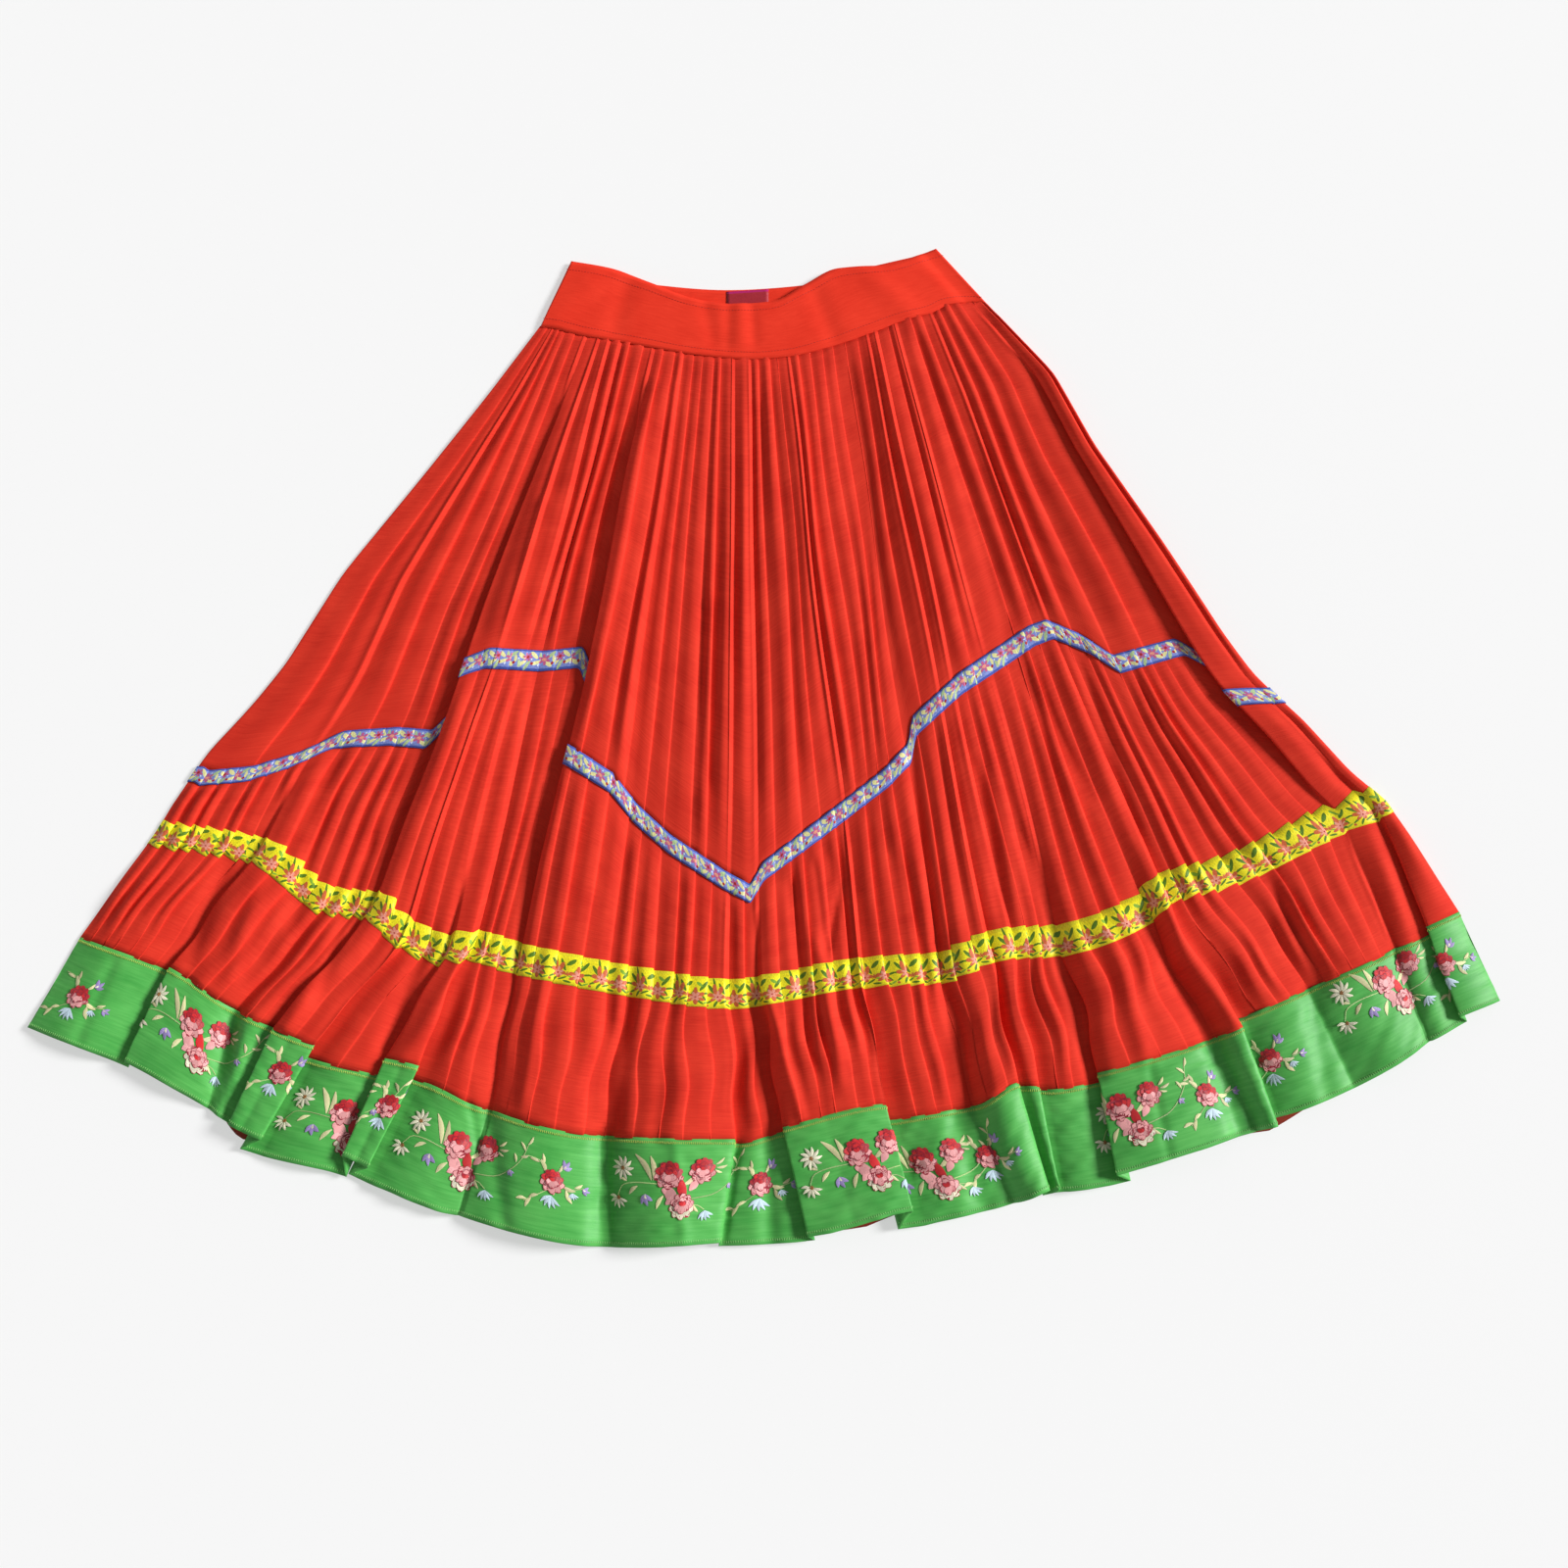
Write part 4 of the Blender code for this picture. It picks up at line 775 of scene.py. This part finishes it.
class Laid:
    """Places on a cloth, by distances along it in mm from a pixel of the photograph."""

    def __init__(self, grid):
        self.grid, self.normal = grid, outward(grid)
        self.along, self.deep = lengths(grid)

    def start(self, x, y):
        """Row and column of the grid nearest to a pixel, on the upper layer where two lie there."""
        at = photo_place(x, y)
        away = np.hypot(self.grid[..., 0] - at[0], self.grid[..., 1] - at[1])
        away -= TOP_LAYER_FIRST * self.grid[..., 2]
        return np.unravel_index(away.argmin(), away.shape)

    def places(self, start, right, down, lift):
        """Points at distances right of and below the start, lifted off the cloth."""
        row, column = start
        rows, columns = self.deep.shape
        c = np.interp(self.along[start] + right, self.along[row], np.arange(columns))
        r = np.interp(self.deep[start] + down, self.deep[:, column], np.arange(rows))
        r0, c0 = np.minimum(r.astype(int), rows - 2), np.minimum(c.astype(int), columns - 2)
        r, c = (r - r0)[:, None], (c - c0)[:, None]

        def mixed(a):
            return ((a[r0, c0] * (1 - c) + a[r0, c0 + 1] * c) * (1 - r)
                    + (a[r0 + 1, c0] * (1 - c) + a[r0 + 1, c0 + 1] * c) * r)
        return mixed(self.grid) + mixed(self.normal) * np.asarray(lift)[:, None]


# Embroidery on the band: raised satin stitch in cream, red, pink, purple and pale blue. A wide
# spray with three roses and daisies takes turns with a small spray of one rose.

# Each shape begins with its place in mm from the spray's middle. Leaves then have their length,
# width and turn, tulips and sprigs a size, a turn and a dye, roses a size and two dyes, and
# daisies a size, a count of petals and the turns of the first and last.
THREADS = {"cream": (0.72, 0.68, 0.36), "petal": (0.8, 0.76, 0.56), "red": (0.62, 0.02, 0.025),
           "pink": (0.86, 0.38, 0.38), "purple": (0.34, 0.26, 0.55), "blue": (0.55, 0.7, 0.8),
           "stem": (0.38, 0.55, 0.2), "brown": (0.3, 0.13, 0.03), "maroon": (0.33, 0.01, 0.03)}
WIDE_SPRAY = {
    "rose": ((19, -16, 14, "pink", "red"), (-10, -12, 15, "pink", "red"), (4, 15, 14, "petal", "pink")),
    "daisy": ((-51, -17, 9, 10, 0, 360), (-57, 8, 8, 6, 20, 190)),
    "leaf": (("cream", (-25, -7, 26, 5, -122), (-23, -7, 21, 4.5, -98), (3, -3, 21, 5.5, -38),
              (-38, -2, 11, 3.5, 140), (-14, 6, 13, 4, 118), (30, -21, 9, 2.5, -40),
              (31, -18, 10, 2.5, -12), (30, -16, 7, 2, 20), (50, -12, 8, 2.5, -110),
              (54, -18, 8, 2.5, -20), (58, -24, 9, 2.5, -130), (60, -30, 9, 2.5, -60),
              (14, 14, 9, 2.5, 50), (-48, -6, 7, 2.5, 200)),
             ("pink", (-6, 0, 9, 6, 80), (-3, 3, 9, 6, 120)), ("red", (2, 2, 8, 5, 60)),
             ("pink", (-12, -2, 7, 5, 100)), ("purple", (45, -4, 6, 3, 60)),
             ("pink", (-12, -3, 18, 10, 52)), ("red", (1, -8, 17, 8, 72)),
             ("pink", (9, 2, 13, 7, -62), (-2, 8, 11, 7, 150))),
    "tulip": ((-31, 5, 9, 75, "purple"), (45, -4, 5, 60, "purple")),
    "stem": (((-20, -4), (-38, -5), (-52, -3), (-58, 6)),
             ((12, 9), (30, 6), (45, -4), (56, -18), (60, -30)), ((10, 14), (18, 15), (25, 19))),
    "sprig": ((26, 20, 9, 75, "blue"),)}
SMALL_SPRAY = {
    "rose": ((0, 0, 13, "pink", "red"),),
    "leaf": (("cream", (-6, -6, 12, 4, -118), (-13, -14, 9, 3, -170), (-9, -12, 10, 3, -95),
              (-12, 14, 9, 3, 150), (-18, 18, 10, 3.2, 115), (-22, 20, 9, 3, 170), (9, 3, 12, 3.6, 15),
              (12, 6, 12, 3.8, 65), (20, 3, 8, 2.6, -25), (5, -8, 8, 2.6, -60)),
             ("pink", (0, 5, 7, 5, 80))),
    "tulip": ((10, -12, 8, -50, "purple"), (27, 4, 6, 15, "purple")),
    "stem": (((-7, -8), (-14, -16), (-24, -17)), ((6, 3), (16, 5), (28, 3)),
             ((-4, 8), (-14, 15), (-24, 22))),
    "sprig": ((-1, 13, 11, 95, "blue"), (18, 8, 6, 80, "blue"))}
# Heights in mm of the stitched layers over each other, and how thread swells
PATCH_LIFT, LAYER_STEP, PETAL_STEP, FLOWER_LAYER, OUTLINE = 0.25, 0.012, 0.045, 0.3, 0.5
LEAF_SWELL, PETAL_SWELL, STEM_SWELL = 0.45, 0.08, 0.25
POINTED, ROUND = 0.8, 0.55
LEAF_POINTS, LEAF_FROM, LEAF_TO, LEAF_BEND = 7, 0.04, 0.97, 0.08
STEM_POINTS, STEM_HALF = 12, 0.45
THREAD_SHADES, SHADE_STEP = 0.2, 7.0
# A rose's petals from the outside in: turns, length and width as shares of its size, and dye
ROSE_RINGS = (((165, 15, 128, 52, 90), 0.88, 0.6, "low"), ((-162, -18, -122, -58, -90), 0.8, 0.58, "high"),
              ((-148, -32, -92), 0.58, 0.46, "high"), ((152, 28, 90), 0.52, 0.46, "heart"),
              ((-62, -125), 0.36, 0.26, "bud"))
DAISY_OPEN, DAISY_WIDE, SEEDS, SEED_LONG, SEED_WIDE = 1.4, 0.33, (0, 72, 144, 216, 288), 2.0, 1.8
TULIP_TURNS, TULIP_WIDE, TULIP_MIDDLE, TULIP_HEART = (-38, 0, 38), 0.42, 1.15, (0.6, 0.3)
SPRIG_TURNS, SPRIG_WIDE = (-50, -25, 0, 25, 50), 0.26


class Embroidery:
    """Petals, leaves and stems of raised thread, gathered into one mesh."""

    def __init__(self, cloth):
        self.cloth = cloth
        self.points, self.faces, self.colours, self.threads = [], [], [], []
        self.layer = 0.0

    def patch(self, start, a, b, swell, colour, u, v):
        """One stitched shape: 3 points wide, at distances a and b from the start."""
        first = len(self.points)
        steps = len(a) // 3
        self.layer += LAYER_STEP
        self.points += list(self.cloth.places(start, a, b, PATCH_LIFT + self.layer + swell))
        for i in range(steps - 1):
            for j in range(2):
                corner = first + 3 * i + j
                self.faces.append((corner, corner + 1, corner + 4, corner + 3))
        shade = 1 + THREAD_SHADES * math.sin(SHADE_STEP * len(self.faces))
        self.colours += [tuple(c * shade for c in THREADS[colour]) + (1.0,)] * len(a)
        self.threads += list(zip(u, v))

    def leaf(self, start, x, y, long, wide, turn, colour, taper=POINTED, swell=LEAF_SWELL):
        """A leaf or petal from its root outwards, a little bent."""
        t = np.repeat(np.linspace(0, 1, LEAF_POINTS), 3)
        side = np.tile([-1.0, 0.0, 1.0], LEAF_POINTS)
        away = side * wide / 2 * np.sin(math.pi * np.clip(t, LEAF_FROM, LEAF_TO)) ** taper
        angle = math.radians(turn)
        bent = LEAF_BEND * long * np.sin(math.pi * t)
        a = x + t * long * math.cos(angle) - (away + bent) * math.sin(angle)
        b = y + t * long * math.sin(angle) + (away + bent) * math.cos(angle)
        self.patch(start, a, b, swell * (1 - np.abs(side)) * np.sin(math.pi * t), colour,
                   t * long * MM, side * wide * MM)

    def stem(self, start, line):
        """A thin stem along a line."""
        bends = along_line(line, STEM_POINTS)
        ahead = np.gradient(bends, axis=0)
        ahead /= np.linalg.norm(ahead, axis=1)[:, None]
        side = np.tile([-1.0, 0.0, 1.0], STEM_POINTS)
        a = np.repeat(bends[:, 0], 3) - side * STEM_HALF * np.repeat(ahead[:, 1], 3)
        b = np.repeat(bends[:, 1], 3) + side * STEM_HALF * np.repeat(ahead[:, 0], 3)
        self.patch(start, a, b, STEM_SWELL * (1 - np.abs(side)), "stem", a * MM, b * MM)

    def rose(self, start, x, y, size, low, high):
        """Wide petals of one colour below and of another above, round a tight dark bud."""
        self.layer = FLOWER_LAYER
        dyes = {"low": low, "high": high, "heart": "pink" if low == "petal" else low, "bud": "red"}
        for turns, long, wide, dye in ROSE_RINGS:
            for turn in turns:
                self.layer += PETAL_STEP
                for less, colour in ((0, "maroon"), (OUTLINE, dyes[dye])):
                    self.leaf(start, x, y, long * size - less, wide * size - less, turn, colour, ROUND,
                              PETAL_SWELL)

    def daisy(self, start, x, y, size, petals, low, high):
        """Cream petals from one turn to another, round a brown heart."""
        for turn in np.linspace(low, high, petals, endpoint=high - low < 360):
            angle = math.radians(turn)
            self.leaf(start, x + DAISY_OPEN * math.cos(angle), y + DAISY_OPEN * math.sin(angle),
                      size, DAISY_WIDE * size, turn, "petal")
        for turn in SEEDS:
            self.leaf(start, x, y, SEED_LONG, SEED_WIDE, turn, "brown")

    def tulip(self, start, x, y, size, turn, colour):
        """Three petals that fan out, with a cream heart."""
        for away in TULIP_TURNS:
            long = size if away else size * TULIP_MIDDLE
            self.leaf(start, x, y, long, TULIP_WIDE * size, turn + away, colour)
        self.leaf(start, x, y, TULIP_HEART[0] * size, TULIP_HEART[1] * size, turn, "petal")

    def sprig(self, start, x, y, size, turn, colour):
        """Five narrow petals that fan out."""
        for away in SPRIG_TURNS:
            self.leaf(start, x, y, size, SPRIG_WIDE * size, turn + away, colour)

    def spray(self, start, parts):
        """One spray of flowers, its stems lowest and its roses on top."""
        self.layer = 0.0
        for line in parts["stem"]:
            self.stem(start, line)
        for colour, *leaves in parts["leaf"]:
            for leaf in leaves:
                self.leaf(start, *leaf, colour)
        for kind, sewn in (("tulip", self.tulip), ("sprig", self.sprig), ("daisy", self.daisy),
                           ("rose", self.rose)):
            for flower in parts.get(kind, ()):
                sewn(start, *flower)


def along_line(points, count):
    """Points at even spacing along a line of given points."""
    points = np.array(points, float)
    length = np.concatenate([[0], np.cumsum(np.linalg.norm(np.diff(points, axis=0), axis=1))])
    at = np.linspace(0, length[-1], count)
    return np.stack([smooth_through(length, points[:, i], at) for i in (0, 1)], -1)


# Where each spray's middle lies, as pixels of the photograph
WIDE_AT = ((206, 1062), (358, 1150), (476, 1183), (694, 1212), (889, 1186), (955, 1194), (1152, 1138),
           (1424, 1008))
SMALL_AT = ((84, 1016), (290, 1094), (398, 1130), (567, 1203), (776, 1208), (1008, 1180), (1229, 1115),
            (1293, 1080), (1470, 985))
embroidery = Embroidery(Laid(band_grid))
for spray, spots in ((WIDE_SPRAY, WIDE_AT), (SMALL_SPRAY, SMALL_AT)):
    for spot in spots:
        embroidery.spray(embroidery.cloth.start(*spot), spray)
thread_mesh = bpy.data.meshes.new("band_embroidery")
thread_mesh.from_pydata(((np.array(embroidery.points) + SETTLE) * MM).tolist(), [], embroidery.faces)
dyes = thread_mesh.color_attributes.new("dye", "FLOAT_COLOR", "POINT")
dyes.data.foreach_set("color", np.array(embroidery.colours, np.float32).ravel())
loops = np.array(embroidery.faces).ravel()
thread_mesh.uv_layers.new(name="thread").uv.foreach_set(
    "vector", np.array(embroidery.threads, np.float32)[loops].ravel())
thread_mesh.shade_smooth()
THREAD_ROUGH, THREAD_GLOSS, LAID_THREADS, LAID_WAVER = 0.45, 0.5, 500.0, 1.5
THREAD_SHADING, THREAD_BUMP = {3: 0.8, 4: 1.08}, (0.5, 0.0003)
look = Look("embroidery_thread", THREAD_ROUGH, THREAD_GLOSS)
dye = look.node("ShaderNodeAttribute", {"attribute_name": "dye"}).outputs["Color"]
waves_of_thread = {"Scale": LAID_THREADS, "Distortion": LAID_WAVER, "bands_direction": "X"}
laid = look.node("ShaderNodeTexWave", waves_of_thread,
                 Vector=look.node("ShaderNodeTexCoord").outputs["UV"]).outputs["Fac"]
shade = look.node("ShaderNodeMapRange", THREAD_SHADING, i0=laid)
thread_mesh.materials.append(look.finish(look.shaded(dye, shade), laid, *THREAD_BUMP))
sewn_flowers = placed("band_embroidery", thread_mesh)
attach(sewn_flowers, "root")


# Stitching: a yellow-green overcast edge along the band's seam, and light green ticks that
# hold up its hem. Each stitch is one small rounded loop of thread.
STITCH_SEED, STITCH_ROUNDS = 5, 2


def stitch_tree():
    """Geometry nodes that set small loops of thread along a path, and the names of their inputs."""
    tree = bpy.data.node_groups.new("stitches", "GeometryNodeTree")
    node, add = node_adder(tree), tree.interface.new_socket
    add("Path", in_out="INPUT", socket_type="NodeSocketGeometry")
    named = {name: add(name, in_out="INPUT", socket_type="NodeSocketFloat").identifier
             for name in ("Spacing", "Along", "Crosswise", "Height", "Lean")}
    named["Thread"] = add("Thread", in_out="INPUT", socket_type="NodeSocketMaterial").identifier
    add("Stitches", in_out="OUTPUT", socket_type="NodeSocketGeometry")
    given = node("NodeGroupInput").outputs
    curve = node("GeometryNodeMeshToCurve", i0=given["Path"])
    points = node("GeometryNodeCurveToPoints", {"mode": "LENGTH"}, Curve=curve, Length=given["Spacing"])
    turn = node("FunctionNodeAlignRotationToVector", {"axis": "X"}, Vector=points.outputs["Tangent"])
    low = node("ShaderNodeMath", {"operation": "MULTIPLY", 1: -1}, i0=given["Lean"])
    lean = node("FunctionNodeRandomValue", {"data_type": "FLOAT", "Seed": STITCH_SEED}, i2=low,
                i3=given["Lean"])
    about = node("ShaderNodeCombineXYZ", i2=lean.outputs[1])
    spin = node("FunctionNodeRotateRotation", {"rotation_space": "LOCAL"}, i0=turn, i1=about)
    loop = node("GeometryNodeMeshIcoSphere", {"Radius": 0.5, "Subdivisions": STITCH_ROUNDS})
    size = node("ShaderNodeCombineXYZ", i0=given["Along"], i1=given["Crosswise"], i2=given["Height"])
    copies = node("GeometryNodeInstanceOnPoints", Points=points.outputs["Points"],
                  Instance=loop.outputs["Mesh"], Rotation=spin, Scale=size)
    real = node("GeometryNodeRealizeInstances", i0=copies)
    painted = node("GeometryNodeSetMaterial", i0=real, Material=given["Thread"])
    node("NodeGroupOutput", i0=painted)
    return tree, named


SEWING_ROUGH, SEWING_GLOSS, TWIST, SHADED_SIDE = 0.5, 0.5, 1200.0, 0.7


def sewing_thread(name, colour):
    """Twisted thread of one colour, darker in places."""
    look = Look(name, SEWING_ROUGH, SEWING_GLOSS)
    twist = look.node("ShaderNodeTexNoise", {"Scale": TWIST},
                      Vector=look.node("ShaderNodeTexCoord").outputs["Object"])
    dark = (*[part * SHADED_SIDE for part in colour], 1)
    mixed = look.node("ShaderNodeMix", {"data_type": "RGBA", 6: dark, 7: (*colour, 1)}, i0=twist)
    look.tree.links.new(mixed.outputs[2], look.inputs["Base Color"])
    return look.material


STITCHES, STITCH_SOCKETS = stitch_tree()


def sew(name, path, sizes, thread):
    """Stitches along a path in mm. Sizes: spacing, along, crosswise, height in mm, then lean."""
    mesh = bpy.data.meshes.new(name + "_path")
    mesh.from_pydata(((path + SETTLE) * MM).tolist(), [(i, i + 1) for i in range(len(path) - 1)], [])
    guide = placed(name + "_path", mesh)
    modifier = guide.modifiers.new("stitches", "NODES")
    modifier.node_group = STITCHES
    for socket, size in zip(("Spacing", "Along", "Crosswise", "Height"), sizes):
        modifier[STITCH_SOCKETS[socket]] = size * MM
    modifier[STITCH_SOCKETS["Lean"]] = sizes[-1]
    modifier[STITCH_SOCKETS["Thread"]] = thread
    sewn = guide.evaluated_get(bpy.context.evaluated_depsgraph_get())
    finished = placed(name, bpy.data.meshes.new_from_object(sewn))
    bpy.data.objects.remove(guide)
    finished.data.shade_smooth()
    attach(finished, "root")


EDGE_THREAD = sewing_thread("yellow_green_thread", (0.6, 0.72, 0.12))
HEM_THREAD = sewing_thread("light_green_thread", (0.3, 0.68, 0.2))
OVERCAST, OVERCAST_LIFT = (1.7, 0.6, 2.6, 0.5, 0.35), 0.3
HEM_TICKS, HEM_LIFT = (2.1, 0.5, 2.6, 0.45, 0.3), 0.2
out = outward(band_grid)
sew("band_seam_stitches", (band_grid + out * OVERCAST_LIFT)[1], OVERCAST, EDGE_THREAD)
sew("hem_stitches", (band_grid + out * HEM_LIFT)[-2], HEM_TICKS, HEM_THREAD)

# Waistband: a shaped band of the red cloth, faced and top-stitched. The front dips, so the
# inside of the back shows above it with a small bare satin label.
SCARLET_CLOTH = woven("waistband_cotton", (0.70, 0.028, 0.011), (0.86, 0.046, 0.02), 0.8, (60, 600, 1))
FRONT_TOP = ((-208, 519), (-168, 511), (-130, 496), (-86, 479), (-50, 474), (-13, 476),
             (20, 494), (53, 511), (97, 514), (149, 533))
BACK_TOP = ((-207, 518), (-153, 501), (-130, 496), (-55, 490), (19, 495), (57, 507), (148, 530))
WAIST_STATIONS, WAIST_ROWS, WAIST_WALL = 90, 9, 1.2
ABOVE_PLEATS, OVER_PLEATS, BACK_WAIST_HEIGHT = 1.9, 1.5, 1.2
across = np.linspace(0, 1, WAIST_STATIONS)
waist = plan(across, np.zeros(WAIST_STATIONS))


def waistband(name, node_name, top, heights, reach):
    """One half of the waistband, from its top edge to a reach in mm past the waist seam."""
    upper_edge = along_line(top, WAIST_STATIONS)
    down = waist - upper_edge
    down /= np.linalg.norm(down, axis=1)[:, None]
    rows = [np.column_stack([upper_edge * (1 - part) + (waist + down * reach) * part, heights])
            for part in np.linspace(0, 1, WAIST_ROWS)]
    grid = rounded(np.array(rows))
    grid = creased(grid) if top is FRONT_TOP else grid
    obj = shell(name, grid, [SCARLET_CLOTH], wall=WAIST_WALL)
    declare(obj, node_name, grid)
    return grid


front_heights = FRONT_MID + FRONT_SWELL * np.sin(np.pi * across) + ABOVE_PLEATS
waist_grid = waistband("waistband_front_cloth", "waistband_front", FRONT_TOP, front_heights, OVER_PLEATS)
waistband("waistband_back_cloth", "waistband_back", BACK_TOP, np.full(WAIST_STATIONS, BACK_WAIST_HEIGHT),
          0.0)

RED_THREAD = sewing_thread("red_thread", (0.5, 0.02, 0.012))
TOPSTITCH, TOPSTITCH_LIFT = (3.0, 2.2, 0.5, 0.5, 0.1), 0.15
stitched = waist_grid + outward(waist_grid) * TOPSTITCH_LIFT
for row, name in ((-3, "waist_seam_stitches"), (2, "waist_top_stitches")):
    sew(name, stitched[row], TOPSTITCH, RED_THREAD)

# Label: a small bare tab of dark red satin with a crimson top edge, sewn flat to the inside
# of the back's waistband, where it shows above the front's dip.
LABEL_EDGE, LABEL_CRIMSON = 2.2, (0.42, 0.015, 0.13)
LABEL_SATIN = woven("label_satin_weave", (0.3, 0.02, 0.03), (0.42, 0.035, 0.05), 0.35, (900, 500, 1),
                    edge=(LABEL_EDGE, LABEL_CRIMSON))
LABEL_LEFT, LABEL_RIGHT, LABEL_HEIGHT, LABEL_BELOW_EDGE = -56.0, -15.0, 22.0, 2.0
LABEL_COLUMNS, LABEL_ROWS, LABEL_LEVEL, LABEL_WALL = 13, 7, 1.7, 0.3
label_x = np.linspace(LABEL_LEFT, LABEL_RIGHT, LABEL_COLUMNS)
label_top = np.interp(label_x, *np.array(BACK_TOP, float).T) - LABEL_BELOW_EDGE
label_z = np.full(LABEL_COLUMNS, LABEL_LEVEL)
label_grid = np.array([np.column_stack([label_x, label_top - LABEL_HEIGHT * part, label_z])
                       for part in np.linspace(0, 1, LABEL_ROWS)])
declare(shell("waist_label_satin", label_grid, [LABEL_SATIN], wall=LABEL_WALL), "waist_label",
        label_grid)

# Back of the skirt: the same pieces again, flat on the surface under the front. At the hem its
# lining shows below the front's raised edges.
LINING = woven("red_brown_lining", (0.16, 0.02, 0.01), (0.24, 0.035, 0.018), 0.6, (60, 600, 1))
BACK_SEAM, BAND_DEPTH, BACK_MID, BACK_COLUMNS = 0.78, 96.0, 0.7, 160
back_across = np.linspace(0, 1, BACK_COLUMNS)
back_one = np.ones(len(back_across))
middles = (ACROSS[:-1] + ACROSS[1:]) / 2
peek = HEM + np.interp(back_across, middles, FOLD["peek"][:-1]) / BAND_DEPTH


BACK_PIECES = (
    ("upper_panel_back", "pleated_cloth", back_one * WAIST, back_one * BACK_SEAM, 20, [RED_CLOTH]),
    ("lower_tier_back", "pleated_cloth", back_one * BACK_SEAM, back_one * BAND_SEAM, 16, [RED_CLOTH]),
    ("hem_band_back", "band_satin", back_one * BAND_SEAM, peek, 9, [LINING, GREEN_SATIN]))
for node_name, slot, top, bottom, rows, cloths in BACK_PIECES:
    depths = [top + (bottom - top) * part for part in np.linspace(0, 1, rows)]
    grid = np.array([np.column_stack([plan(back_across, d), back_one * BACK_MID]) for d in depths])
    piece = shell(node_name + "_cloth", grid, cloths, inner_slot=len(cloths) - 1)
    declare(piece, node_name, grid)
